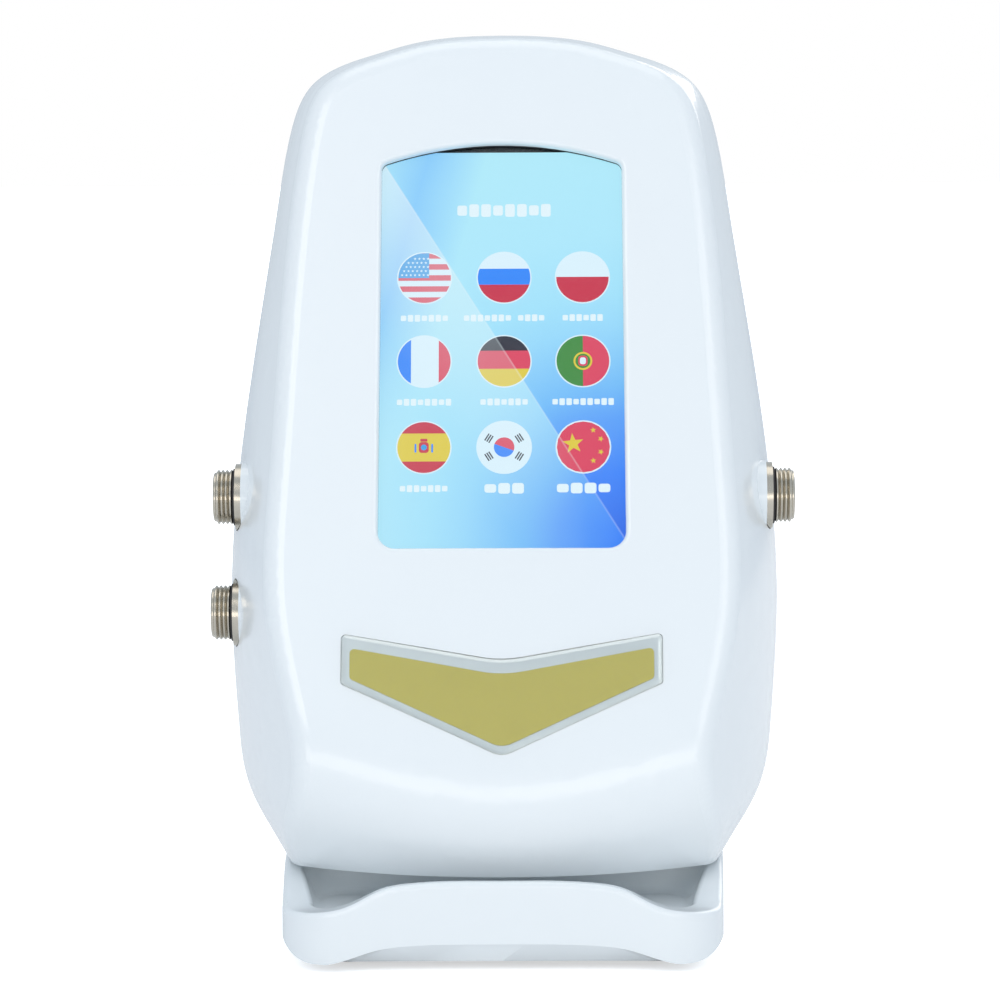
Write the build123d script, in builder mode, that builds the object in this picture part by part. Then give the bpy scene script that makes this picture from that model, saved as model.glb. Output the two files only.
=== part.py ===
"""Tabletop ultrasonic cavitation slimming machine: a leaning clamshell casing with a touch screen,
a gold badge and three threaded sockets, standing on an arched foot. Millimetres, +Z up, the front
faces -Y, and the origin is the middle of the footprint at table level."""
import math
import os

from build123d import *

os.makedirs("parts", exist_ok=True)

# Overall form
overall_depth = 158.0
casing_width = 148.0
casing_top = 239.3
deck_height = 22.3
wall = 2.5
overrun = 5.0
running_clearance = 0.05
seat_clearance = 0.1
front_y = -overall_depth / 2

# Leaning face: its flat plane passes the height face_height at face_setback behind the toes
lean_angle = 22.0
face_setback = 5.0
face_height = 43.3
face_width = 115.0
face_crown = 0.8
face_edge_radius = 6.5
belly_start = 67.3
belly_tuck = 17.8
belly_bulge = 16.0
belly_bulge_reach = 50.0
belly_wall_share = 0.6
face_levels = 28

# Section planes of the casing, as distances behind the toes at deck level and at the crown
face_section_setback = (-8.0, 79.5)
shoulder_setback = (23.0, 91.0)
widest_setback = (61.0, 105.0)
rear_slope_setback = (110.0, 117.0)
rear_cap_setback = (150.0, 126.0)
rear_slope_width = 143.6
rear_cap_width = 115.0
shoulder_top = 239.1
widest_top = 238.7
rear_slope_top = 228.3
rear_cap_top = 206.3
shoulder_share = 0.62
rear_edge_radius = 11.0
parting_gap = 0.3
tongue_depth = 3.0
tongue_thickness = 1.2
tongue_root = 0.5

# Outlines as shares of a section's half width, at shares of its height above the deck
level_shares = (-0.075, 0.0, 0.068, 0.1525, 0.3115, 0.483, 0.644, 0.793, 0.885, 0.94, 0.977, 1.0)
face_outline_shares = (0.70, 0.755, 0.785, 0.85, 1.0, 0.985, 0.957, 0.918, 0.865, 0.79, 0.54, 0.0)
widest_outline_shares = (0.685, 0.80, 0.925, 0.972, 1.0, 0.966, 0.90, 0.832, 0.784, 0.71, 0.48, 0.0)
rear_outline_shares = (0.64, 0.76, 0.88, 0.95, 1.0, 0.965, 0.90, 0.82, 0.74, 0.63, 0.40, 0.0)

# Screen window, measured up the face from its reference height
window_bottom = 68.4
window_top = 180.9
window_shoulder = 175.3
window_top_width = 64.2
window_bottom_width = 65.0
window_corner_radius = 4.6
window_edge_radius = 1.2
window_run_out = 2.5

# Display stack behind the window
gasket_thickness = 0.6
gasket_play = 0.45
board_gap = 1.0
gasket_border = 3.0
glass_thickness = 1.1
glass_width = 72.0
glass_length = 118.5
glass_corner_radius = 1.5
panel_thickness = 4.2
panel_width = 75.6
panel_length = 122.1
active_top = 179.5
board_thickness = 1.6
display_board_width = 92.0
display_board_length = 124.0
display_screw_spacing = (85.0, 114.0)
display_boss_diameter = 6.0

# Badge on the lower face
badge_width = 83.6
badge_top = 45.3
badge_notch = 37.9
badge_side = 31.8
badge_tip = 12.2
badge_border = 2.3
badge_recess_depth = 1.4
badge_clearance = 0.15
foil_thickness = 0.3
plate_thickness = 0.3
dome_rise = 0.8
dome_bevel = 1.1
badge_tip_radius = 6.0
badge_notch_radius = 30.0
badge_corner_radius = 1.2
badge_top_border_share = 1.7
badge_side_border_share = 0.635
badge_tip_border_share = 1.105

# Threaded sockets: side, height, distance behind the toes and seat distance from the middle
socket_places = {
    "left_upper": (-1, 116.3, 67.0, 70.2),
    "left_lower": (-1, 85.8, 60.5, 70.6),
    "right": (1, 116.3, 67.0, 70.6),
}
socket_flange_diameter = 17.8
socket_flange_thickness = 1.7
socket_thread_diameter = 14.6
socket_thread_depth = 0.65
socket_thread_pitch = 1.15
socket_thread_turns = 4
socket_neck_length = 0.6
socket_barrel_diameter = 14.2
socket_barrel_length = 12.0
socket_bore_diameter = 11.6
socket_mouth_diameter = 12.0
socket_pad_thickness = 6.5
socket_pad_diameter = 18.6
socket_nut_across_flats = 17.5
socket_nut_thickness = 2.6
socket_nut_turn = 30.0
contact_diameter = 1.6
contact_circle = 7.2
contact_rise = 2.2
contact_tail = 4.0
contacts = 4
contact_tip_share = 0.4
thread_rise_share = 0.35
thread_fall_share = 0.65
socket_lead_in = 0.35
insulator_rise = 1.2
seal_height = 1.1

# Foot: an arched lip in front, a dish behind it and a deck under the casing
foot_width = 117.4
foot_front_width = 113.6
foot_front_radius = 16.0
foot_rear_radius = 25.0
foot_edge_radius = 10.0
foot_lift = 2.2
foot_wall = 3.4
foot_top_radius = 1.4
deck_setback = 55.0
deck_thickness = 3.0
lip_height = 23.7
lip_end_height = 15.3
lip_end_reach = 48.0
lip_shoulder_shares = ((0.27, 1.0), (0.48, 0.93), (0.65, 0.74), (0.82, 0.24))
lip_zone = 9.0
rim_levels = 6
dish_floor = 13.3
dish_draft = 28.0
dish_corner_radius = 10.0
dish_back = 10.0
dish_floor_radius = 3.0
arch_height = 7.6
arch_reach = 46.5
arch_depth = 5.0
arch_shoulder_shares = ((0.53, 0.92), (0.71, 0.72), (0.89, 0.19))
cavity_border = 13.5
cavity_rear_border = 22.0
cavity_front_border = 5.0
cavity_radius = 8.0
bottom_plate_thickness = 1.6
bottom_plate_clearance = 0.3
foot_pad_diameter = 9.0
foot_pad_height = 3.0
foot_pad_setbacks = ((42.0, 19.0), (36.0, 143.0))
foot_pad_chamfer = 0.6

# Screws: shank diameter, head diameter and head height
small_screw = (2.6, 5.0, 1.8)
small_screw_length = 6.0
plate_screw = (2.6, 4.8, 1.0)
casing_screw = (3.0, 5.6, 2.2)
deck_screw = (4.0, 7.6, 2.8)
deck_screw_reach = 10.0
bite_clearance = 0.03
screw_head_play = 0.3
dome_share = 0.45
slot_length_share = 0.6
slot_width_share = 0.25

# Casing screw posts: distance from the middle, height
post_heights = ((44.0, 86.3), (30.0, 219.8))
post_diameter = 9.2
post_well_diameter = 6.4
post_seat_depth = 10.0
post_screw_reach = 9.0
casing_screw_length = 18.0
deck_post_setbacks = ((42.0, 51.0), (38.0, 119.0))
deck_post_height = 9.0
deck_post_diameter = 8.0
plate_post_reach = 34.0
plate_post_setbacks = (70.0, 128.0)
plate_post_diameter = 7.0

# Mains inlet with rocker and fuse drawer, in the rear cap
inlet_height = 46.0
inlet_flange = (31.0, 59.0)
inlet_ears = (50.0, 13.0)
inlet_flange_thickness = 2.6
inlet_body = (27.0, 48.0)
inlet_corner_radius = 3.0
inlet_edge_radius = 0.8
inlet_body_depth = 25.0
inlet_screw_spacing = 40.0
inlet_fit = 0.3
plug_cavity_size = (24.4, 16.6)
plug_cavity_depth = 18.0
plug_cavity_drop = 14.6
plug_cavity_chamfer = 4.5
blade_size = (2.0, 4.0)
blade_places = ((-7.0, -2.0), (7.0, -2.0), (0.0, 2.0))
blade_setback = 1.0
blade_tail = 8.0
drawer_size = (23.6, 8.8)
drawer_depth = 13.0
drawer_rise = 0.4
drawer_clearance = 0.2
drawer_face_thickness = 1.2
drawer_lip = 0.7
fuse_diameter = 5.2
fuse_length = 20.0
fuse_cap_length = 5.0
fuse_glass_step = 0.3
fuse_rise = 0.8
fuse_place_depth = 8.0
rocker_size = (19.2, 12.6)
rocker_rise = 14.8
rocker_clearance = 0.5
rocker_pivot_depth = 2.4
rocker_end_height = 4.2
rocker_middle_height = 1.6
rocker_tilt = 9.0
rocker_pin_diameter = 2.4
rocker_pin_length = 1.2

# Fan behind the vent slots
fan_height = 112.0
fan_size = 60.0
fan_depth = 15.0
fan_bore = 57.0
fan_blade_gap = 1.2
fan_hub_diameter = 24.0
fan_hub_depth = 10.0
fan_motor_depth = 3.2
fan_hub_gap = 0.5
fan_screw_spacing = 50.0
fan_corner_radius = 4.0
fan_blades = 7
fan_blade_thickness = 1.2
fan_blade_pitch = 38.0
fan_shaft_diameter = 2.0
fan_strut_width = 3.0
fan_setting = 0.1
fan_struts = 4
fan_hub_radius = 1.2
fan_blade_root = 1.5
fan_blade_root_chord = 11.0
fan_blade_tip_chord = 15.0
fan_blade_twist = 12.0
vent_reach = 26.0
vent_pitch = 5.6
vent_slot = 2.8
vent_slots = 9

# Display board chips: place from the middle of the board, width and length
display_chip_places = (
    (0.0, 20.0, 14.0, 14.0), (-24.0, 22.0, 10.0, 8.0),
    (22.0, -6.0, 8.0, 12.0), (-20.0, -14.0, 12.0, 9.0),
)
chip_height = 1.4
ribbon_socket_size = (36.0, 6.0)
ribbon_socket_height = 3.0

# Boards
board_width = 74.0
board_length = 62.0
board_setback = 51.0
board_hole_inset = 4.0
power_board_height = 34.3
driver_board_height = 70.3
standoff_width = 5.5
standoff_hole = 2.6
standoff_tapping = 5.0
standoff_spigot = 3.0
board_nut_thickness = 2.0
block_radius = 1.0
winding_clearance = 0.4
fin_thickness = 1.6
power_core_place = (-16.0, 4.0)
power_core_size = (30.0, 14.0, 26.0)
power_core_leg = 5.0
power_sink_place = (18.0, -16.0)
power_sink_size = (24.0, 14.0, 22.0)
power_sink_fins = 7
capacitor_places = ((14.0, 8.0, 16.0, 28.0), (14.0, 25.0, 10.0, 16.0), (27.0, 16.0, 8.0, 13.0))
terminal_places = ((-20.0, -24.0, 18.0, 8.0), (0.0, 27.0, 8.0, 6.0))
terminal_height = 9.0
driver_core_place = (-14.0, 6.0)
driver_core_size = (24.0, 12.0, 20.0)
driver_core_leg = 4.2
driver_sink_place = (18.0, 14.0)
driver_sink_size = (26.0, 12.0, 20.0)
driver_sink_fins = 7
relay_places = ((-20.0, -18.0, 12.0, 16.0), (-4.0, -18.0, 12.0, 16.0))
relay_height = 12.0
buzzer_place = (20.0, -12.0)
buzzer_diameter = 12.0
buzzer_height = 8.0
buzzer_hole_share = 0.1

# Depths of the display stack below the face
glass_depth = wall + gasket_play + gasket_thickness
panel_depth = glass_depth + glass_thickness
board_depth = panel_depth + panel_thickness + board_gap
glass_middle = (window_bottom + active_top) / 2

# Places of the screws and feet under the deck
deck_screw_places = [(side * x, front_y + setback) for x, setback in deck_post_setbacks for side in (-1, 1)]
plate_post_places = [(side * plate_post_reach, front_y + setback) for setback in plate_post_setbacks
                     for side in (-1, 1)]
foot_pad_places = [(side * x, front_y + setback) for x, setback in foot_pad_setbacks for side in (-1, 1)]
post_places = [(side * x, height) for x, height in post_heights for side in (-1, 1)]


def face_y(z):
    """The flat leaning plane of the face."""
    return front_y + face_setback + math.tan(math.radians(lean_angle)) * (z - face_height)


def section_plane(setbacks, shift=0):
    """A plane across the casing, leaning from one setback at the deck to the other at the crown."""
    low, high = (front_y + setback for setback in setbacks)
    lean = math.atan2(high - low, casing_top - deck_height)
    normal = (0, -math.cos(lean), math.sin(lean))
    return Plane(origin=(0, low, deck_height), x_dir=(1, 0, 0), z_dir=normal).offset(shift)


def face_plane(depth=0):
    """The face, seen from the front, sunk by a depth: X across, Y up the slope."""
    lean = math.radians(lean_angle)
    normal = (0, -math.cos(lean), math.sin(lean))
    return Plane(origin=(0, face_y(face_height), face_height), x_dir=(1, 0, 0), z_dir=normal).offset(-depth)


def rear_plane(depth=0):
    """The rear cap, seen from behind, sunk by a depth: X to the left as seen in front, Y up."""
    front = section_plane(rear_cap_setback)
    return Plane(origin=front.origin, x_dir=(-1, 0, 0), z_dir=-front.z_dir).offset(-depth)


def blended(first, second, share):
    return [a + (b - a) * share for a, b in zip(first, second)]


def half_widths(width, shares):
    return [width / 2 * share for share in shares]


def casing_sections(inset):
    """Plane, half widths up the side and top height of each section, front to rear."""
    face = half_widths(face_width, face_outline_shares)
    widest = half_widths(casing_width, widest_outline_shares)
    return (
        (section_plane(face_section_setback), face, casing_top),
        (section_plane(shoulder_setback), blended(face, widest, shoulder_share), shoulder_top),
        (section_plane(widest_setback), widest, widest_top),
        (section_plane(rear_slope_setback), half_widths(rear_slope_width, widest_outline_shares),
         rear_slope_top),
        (section_plane(rear_cap_setback, inset), half_widths(rear_cap_width, rear_outline_shares),
         rear_cap_top),
    )


def face_block(inset):
    """Everything behind the front surface: flat above, tucked under and rounded at the belly."""
    reach = casing_width / 2
    step = (casing_top + overrun - deck_height) / (face_levels - 1)
    with BuildPart() as block:
        for level in range(face_levels):
            z = deck_height + level * step
            tuck_share = max(0, belly_start - z) / (belly_start - deck_height)
            set_back = inset * (1 + belly_wall_share * tuck_share) / math.cos(math.radians(lean_angle))
            middle = face_y(z) + set_back + belly_tuck * tuck_share**3
            side = middle + (face_crown + belly_bulge * tuck_share**2) * (reach / belly_bulge_reach) ** 2
            with BuildSketch(Plane.XY.offset(z)):
                with BuildLine():
                    ThreePointArc((-reach, side), (0, middle), (reach, side))
                    Polyline((reach, side), (reach + overrun, side + overrun),
                             (reach + overrun, overall_depth), (-reach - overrun, overall_depth),
                             (-reach - overrun, side + overrun), (-reach, side))
                make_face()
        loft()
        if inset:
            split(bisect_by=Plane.XY.offset(deck_height + inset), keep=Keep.TOP)
    return block.part


def casing_body(inset):
    """The closed outer form of the casing, or its inner cavity when it is inset by the wall."""
    with BuildPart() as body:
        for plane, halves, top in casing_sections(inset):
            height = (top - inset - deck_height) / plane.y_dir.Z
            side = [(max(0, half - inset), height * share) for half, share in zip(halves, level_shares)]
            rise = (side[1][0] - side[0][0], side[1][1] - side[0][1])
            with BuildSketch(plane):
                with BuildLine():
                    Spline(*side, tangents=[rise, (-1, 0)])
                    Line(side[-1], (0, side[0][1]))
                    Line((0, side[0][1]), side[0])
                make_face()
        loft()
        mirror(about=Plane.YZ)
        add(face_block(inset), mode=Mode.INTERSECT)
    return body.part


def upper_edges(face):
    """The edges of a face that rise above the deck."""
    return face.edges().filter_by(lambda edge: edge.bounding_box().max.Z > face_height)


def finish(piece, name):
    """Label a piece and write it to its own file."""
    piece.label = name
    export_step(piece, f"parts/{name}.step")
    print(name, len(piece.solids()), round(piece.volume, 1))


def along_y(x, setback, height):
    """A plane across Y whose normal points to the rear."""
    return Plane(origin=(x, front_y + setback, height), x_dir=(-1, 0, 0), z_dir=(0, 1, 0))


def socket_plane(side, height, setback, seat):
    """The seat of a socket: its normal points out of the casing's side."""
    return Plane(origin=(side * seat, front_y + setback, height), x_dir=(0, side, 0), z_dir=(side, 0, 0))


def parting_setback(height):
    """How far behind the toes the parting plane lies at a height."""
    low, high = widest_setback
    return low + (high - low) * (height - deck_height) / (casing_top - deck_height)


def screw(plane, sizes, length):
    """A pan head screw whose head rests on the plane and whose shank goes down behind it."""
    shank, head, head_height = sizes
    with BuildPart() as piece:
        with BuildSketch(plane):
            Circle(head / 2)
        extrude(amount=head_height)
        top = piece.faces().sort_by(Axis(plane.origin, plane.z_dir))[-1]
        fillet(top.edges(), radius=head_height * dome_share)
        with BuildSketch(plane.offset(head_height)):
            Rectangle(head * slot_length_share, shank * slot_width_share)
            Rectangle(shank * slot_width_share, head * slot_length_share)
        extrude(amount=-head_height * dome_share, mode=Mode.SUBTRACT)
        with BuildSketch(plane):
            Circle(shank / 2)
        extrude(amount=-length)
    return piece.part


def on_outside(edge):
    """Whether an edge of the face lies on its outer skin."""
    return face_plane().to_local_coords(edge.center()).Z > -wall / 2


def group(pieces):
    """Loose pieces of one kind, kept as separate solids."""
    return Compound(children=list(pieces))


def ring(plane, outer_radius, inner_radius, depth):
    """A plain ring that starts on the plane and goes along its normal."""
    with BuildPart() as piece:
        with BuildSketch(plane):
            Circle(outer_radius)
            if inner_radius:
                Circle(inner_radius, mode=Mode.SUBTRACT)
        extrude(amount=depth)
    return piece.part


# Outlines that the casing shares with the screen and the badge
with BuildSketch() as window_outline:
    half_top = window_top_width / 2
    half_bottom = window_bottom_width / 2
    with BuildLine():
        Polyline((-half_top, window_shoulder), (-half_bottom, window_bottom),
                 (half_bottom, window_bottom), (half_top, window_shoulder))
        ThreePointArc((half_top, window_shoulder), (0, window_top), (-half_top, window_shoulder))
    make_face()
    fillet(window_outline.vertices().group_by(Axis.Y)[0], radius=window_corner_radius)
    fillet(window_outline.vertices().group_by(Axis.Y)[-1], radius=window_corner_radius / 2)


def badge_outline(border):
    """The shield of the badge: a notch above, straight sides and a rounded tip below."""
    half = badge_width / 2 - border
    top_border = border * badge_top_border_share
    side = badge_side + border * badge_side_border_share
    with BuildSketch() as outline:
        with BuildLine():
            Polyline((-half, badge_top - top_border), (0, badge_notch - top_border),
                     (half, badge_top - top_border), (half, side),
                     (0, badge_tip + border * badge_tip_border_share), (-half, side), close=True)
        make_face()
        inner = outline.vertices().sort_by(lambda vertex: abs(vertex.X))[:2].sort_by(Axis.Y)
        fillet(inner[-1], radius=badge_notch_radius)
        fillet(outline.vertices().sort_by(Axis.Y)[0], radius=badge_tip_radius)
        fillet(outline.vertices().group_by(Axis.X)[0], radius=badge_corner_radius)
        fillet(outline.vertices().group_by(Axis.X)[-1], radius=badge_corner_radius)
    return outline.sketch


# Casing: the whole form, its cavity, and the tongue that laps the parting line inside
with BuildPart() as rounded:
    add(casing_body(0))
    fillet(upper_edges(rounded.faces().sort_by(Axis.Y)[0]), radius=face_edge_radius)
    fillet(upper_edges(rounded.faces().sort_by(Axis.Y)[-1]), radius=rear_edge_radius)

with BuildPart() as tongue:
    add(casing_body(wall + seat_clearance))
    add(casing_body(wall + tongue_thickness), mode=Mode.SUBTRACT)
    split(bisect_by=section_plane(widest_setback, tongue_depth), keep=Keep.BOTTOM)
    split(bisect_by=section_plane(widest_setback, -parting_gap - tongue_depth), keep=Keep.TOP)

with BuildPart() as tongue_root_ring:
    add(casing_body(wall - tongue_root))
    add(casing_body(wall + tongue_thickness / 2), mode=Mode.SUBTRACT)
    split(bisect_by=section_plane(widest_setback, -parting_gap), keep=Keep.BOTTOM)
    split(bisect_by=section_plane(widest_setback, -parting_gap - tongue_depth), keep=Keep.TOP)

with BuildPart() as posts:
    for x, height in post_places:
        with BuildSketch(along_y(x, -overrun, height)):
            Circle(post_diameter / 2)
        extrude(amount=overall_depth + overrun)
    with BuildSketch(Plane.XY.offset(deck_height)):
        with Locations(*deck_screw_places):
            Circle(deck_post_diameter / 2)
    extrude(amount=wall + deck_post_height)
    add(rounded.part, mode=Mode.INTERSECT)

with BuildPart() as shell:
    add(rounded.part)
    add(casing_body(wall), mode=Mode.SUBTRACT)

# Front casing: window, badge recess, socket pads and bosses for the display board
with BuildPart() as front_casing:
    add(shell.part)
    add(posts.part)
    for place in socket_places.values():
        with BuildSketch(socket_plane(*place)):
            Circle(socket_pad_diameter / 2)
        extrude(amount=-socket_pad_thickness)
    split(bisect_by=section_plane(widest_setback), keep=Keep.TOP)
    with BuildSketch(face_plane(wall / 2)):
        with Locations((0, glass_middle)):
            with GridLocations(*display_screw_spacing, 2, 2):
                Circle(display_boss_diameter / 2)
    extrude(amount=-(board_depth - wall / 2))
    with BuildSketch(face_plane(badge_recess_depth)):
        add(badge_outline(-seat_clearance))
    extrude(amount=-wall)
    with BuildSketch(face_plane(-overrun)):
        add(window_outline.sketch)
    extrude(amount=-overrun - wall - window_run_out, mode=Mode.SUBTRACT)
    window_edges = front_casing.edges(Select.LAST).filter_by(on_outside)
    fillet(window_edges, radius=window_edge_radius)
    with BuildSketch(face_plane(badge_recess_depth)):
        add(badge_outline(0))
    extrude(amount=overrun, mode=Mode.SUBTRACT)
    with BuildSketch(face_plane(board_depth)):
        with Locations((0, glass_middle)):
            with GridLocations(*display_screw_spacing, 2, 2):
                Circle(small_screw[0] / 2 + bite_clearance)
    extrude(amount=small_screw_length - board_thickness + seat_clearance, mode=Mode.SUBTRACT)
    for place in socket_places.values():
        with BuildSketch(socket_plane(*place)):
            Circle(socket_flange_diameter / 2 + seat_clearance * 3)
        extrude(amount=overrun, mode=Mode.SUBTRACT)
        with BuildSketch(socket_plane(*place)):
            Circle(socket_barrel_diameter / 2 + seat_clearance)
        extrude(amount=-socket_pad_thickness - overrun, mode=Mode.SUBTRACT)
    for x, height in post_places:
        with BuildSketch(along_y(x, parting_setback(height) - post_screw_reach, height)):
            Circle(casing_screw[0] / 2 + bite_clearance)
        extrude(amount=post_screw_reach + overrun, mode=Mode.SUBTRACT)
    with BuildSketch(Plane.XY.offset(deck_height - overrun)):
        with Locations(*deck_screw_places[:2]):
            Circle(deck_screw[0] / 2 + bite_clearance)
    extrude(amount=deck_screw_reach + overrun + seat_clearance, mode=Mode.SUBTRACT)
finish(front_casing.part, "front_casing")


# Rear casing: tongue, screw wells, inlet cut-out and vent slots
with BuildPart() as rear_casing:
    add(shell.part)
    add(posts.part)
    split(bisect_by=section_plane(widest_setback, -parting_gap), keep=Keep.BOTTOM)
    add(tongue_root_ring.part)
    add(tongue.part)
    for x, height in post_places:
        with BuildSketch(along_y(x, parting_setback(height) + post_seat_depth, height)):
            Circle(post_well_diameter / 2)
        extrude(amount=overall_depth, mode=Mode.SUBTRACT)
        with BuildSketch(along_y(x, parting_setback(height) - overrun, height)):
            Circle(casing_screw[0] / 2 + seat_clearance)
        extrude(amount=post_seat_depth + 2 * overrun, mode=Mode.SUBTRACT)
    with BuildSketch(Plane.XY.offset(deck_height - overrun)):
        with Locations(*deck_screw_places[2:]):
            Circle(deck_screw[0] / 2 + bite_clearance)
    extrude(amount=deck_screw_reach + overrun + seat_clearance, mode=Mode.SUBTRACT)
    with BuildSketch(rear_plane(-overrun)):
        with Locations((0, inlet_height)):
            Rectangle(inlet_body[0] + 2 * inlet_fit, inlet_body[1] + 2 * inlet_fit)
            with GridLocations(inlet_screw_spacing, 0, 2, 1):
                Circle(casing_screw[0] / 2 + bite_clearance)
    extrude(amount=-overrun - 2 * wall, mode=Mode.SUBTRACT)
    with BuildSketch(rear_plane(-overrun)):
        for slot in range(vent_slots):
            rise = (slot - (vent_slots - 1) / 2) * vent_pitch
            with Locations((0, fan_height + rise)):
                SlotOverall(2 * math.sqrt(vent_reach**2 - rise**2), vent_slot)
        with Locations((0, fan_height)):
            with GridLocations(fan_screw_spacing, fan_screw_spacing, 2, 2):
                Circle(casing_screw[0] / 2 + seat_clearance)
    extrude(amount=-overrun - 2 * wall, mode=Mode.SUBTRACT)
finish(rear_casing.part, "rear_casing")


# Foot: the plan, its wavy rim, the dish behind the lip, the arch under it and the cavity below the deck
def foot_plan(border):
    """The foot seen from above, with all its sides brought in by a border."""
    half = foot_width / 2 - border
    half_front = foot_front_width / 2 - border
    end = overall_depth / 2 - border
    with BuildSketch() as plan:
        with BuildLine():
            Polyline((-half_front, -end), (half_front, -end), (half, front_y + deck_setback),
                     (half, end), (-half, end), (-half, front_y + deck_setback), close=True)
        make_face()
        fillet(plan.vertices().group_by(Axis.Y)[0], radius=foot_front_radius - border)
        fillet(plan.vertices().group_by(Axis.Y)[-1], radius=foot_rear_radius - border)
    return plan.sketch


def arched(reach, low, high, shoulder_shares):
    """Points of an arch from its left end over the middle to its right end."""
    rise = high - low
    left = [(-reach * across, low + rise * up) for across, up in reversed(shoulder_shares)]
    right = [(reach * across, low + rise * up) for across, up in shoulder_shares]
    return [(-reach, low), *left, (0, high), *right, (reach, low)]


with BuildPart() as rim:
    rim_reach = foot_width / 2 + overrun
    rim_step = (deck_setback + overrun) / (rim_levels - 1)
    for level in range(rim_levels):
        setback = level * rim_step - overrun
        share = min(1, max(0, (setback - lip_zone) / (deck_setback - dish_back - lip_zone)))
        share = share**2 * (3 - 2 * share)
        flat_end = lip_end_height + (deck_height - lip_end_height) * share
        middle = lip_height + (deck_height - lip_height) * share
        with BuildSketch(Plane.XZ.offset(-front_y - setback)):
            with BuildLine():
                lip = arched(lip_end_reach, flat_end, middle, lip_shoulder_shares)
                Spline((-rim_reach, flat_end), *lip, (rim_reach, flat_end))
                Polyline((rim_reach, flat_end), (rim_reach, 0), (-rim_reach, 0), (-rim_reach, flat_end))
            make_face()
    loft()
    with BuildSketch(Plane.XZ.offset(-front_y - deck_setback)):
        Rectangle(2 * rim_reach, deck_height, align=(Align.CENTER, Align.MIN))
    extrude(amount=-overall_depth)

with BuildPart() as dish:
    spread = overrun * math.tan(math.radians(dish_draft))
    with BuildSketch(Plane.XY.offset(lip_height + overrun)):
        add(foot_plan(foot_wall - spread))
        with Locations((0, front_y + deck_setback - dish_back + spread)):
            Rectangle(2 * foot_width, overall_depth, align=(Align.CENTER, Align.MIN), mode=Mode.SUBTRACT)
    extrude(amount=-(lip_height + overrun - dish_floor), taper=dish_draft)
    floor_edges = dish.faces().sort_by(Axis.Z)[0].edges()
    rear_corners = dish.edges().filter_by(lambda edge: edge.length < foot_width and edge not in floor_edges)
    rear_corners = rear_corners.filter_by(lambda edge: edge.center().Z < lip_height).sort_by(Axis.Y)[-2:]
    fillet(rear_corners, radius=dish_corner_radius)
    fillet(dish.faces().sort_by(Axis.Z)[0].edges(), radius=dish_floor_radius)

with BuildPart() as arch:
    for setback, rise in ((-overrun, 1 + overrun / arch_depth), (arch_depth, 0)):
        with BuildSketch(Plane.XZ.offset(-front_y - setback)):
            with BuildLine():
                height = foot_lift + (arch_height - foot_lift) * rise
                under = arched(arch_reach, foot_lift - seat_clearance, height, arch_shoulder_shares)
                Spline(*under)
                Polyline(under[-1], (arch_reach, -overrun), (-arch_reach, -overrun), under[0])
            make_face()
    loft(ruled=True)


def deck_cavity_plan(clearance):
    """The hollow under the deck, seen from above and brought in by a clearance."""
    half = foot_width / 2 - cavity_border - clearance
    front = front_y + deck_setback + cavity_front_border + clearance
    rear = -front_y - cavity_rear_border - clearance
    with BuildSketch() as plan:
        with Locations((0, (front + rear) / 2)):
            RectangleRounded(2 * half, rear - front, cavity_radius - clearance)
    return plan.sketch


with BuildPart() as base_shell:
    with BuildSketch(Plane.XY.offset(foot_lift)):
        add(foot_plan(0))
    extrude(amount=lip_height + overrun)
    with BuildSketch(Plane.XZ) as front_view:
        with Locations((0, foot_lift)):
            Rectangle(foot_width, lip_height + 2 * overrun, align=(Align.CENTER, Align.MIN))
        fillet(front_view.vertices().group_by(Axis.Z)[0], radius=foot_edge_radius)
    extrude(amount=overall_depth, both=True, mode=Mode.INTERSECT)
    add(rim.part, mode=Mode.INTERSECT)
    add(dish.part, mode=Mode.SUBTRACT)
    with BuildSketch(Plane.XY.offset(deck_height)):
        with Locations((0, front_y + lip_zone + overrun)):
            Rectangle(2 * foot_width, overall_depth, align=(Align.CENTER, Align.MIN))
    extrude(amount=2 * overrun, mode=Mode.SUBTRACT)
    fillet_start = lip_end_height - foot_top_radius
    upper = base_shell.edges().filter_by(lambda edge: edge.bounding_box().min.Z > fillet_start)
    fillet(upper.filter_by(lambda edge: edge.length < foot_width - foot_top_radius), radius=foot_top_radius)
    add(arch.part, mode=Mode.SUBTRACT)
    with BuildSketch(Plane.XY.offset(foot_lift)):
        add(deck_cavity_plan(0))
    extrude(amount=deck_height - deck_thickness - foot_lift, mode=Mode.SUBTRACT)
    with BuildSketch(Plane.XY.offset(foot_lift + bottom_plate_thickness)):
        with Locations(*plate_post_places):
            Circle(plate_post_diameter / 2)
    extrude(until=Until.NEXT)
    with BuildSketch(Plane.XY.offset(foot_lift + bottom_plate_thickness)):
        with Locations(*plate_post_places):
            Circle(small_screw[0] / 2 + bite_clearance)
    extrude(amount=small_screw_length - bottom_plate_thickness + seat_clearance, mode=Mode.SUBTRACT)
    with BuildSketch(Plane.XY.offset(deck_height + overrun)):
        with Locations(*deck_screw_places):
            Circle(deck_screw[0] / 2 + seat_clearance)
    extrude(amount=-deck_thickness - 2 * overrun, mode=Mode.SUBTRACT)
    with BuildSketch(Plane.XY):
        with Locations(*deck_screw_places[:2]):
            Circle(deck_screw[1] / 2 + screw_head_play)
    extrude(amount=deck_height - deck_thickness, mode=Mode.SUBTRACT)
    with BuildSketch(Plane.XY):
        with Locations(*foot_pad_places):
            Circle(foot_pad_diameter / 2 + running_clearance)
    extrude(amount=foot_pad_height, mode=Mode.SUBTRACT)
finish(base_shell.part, "base_shell")


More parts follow.
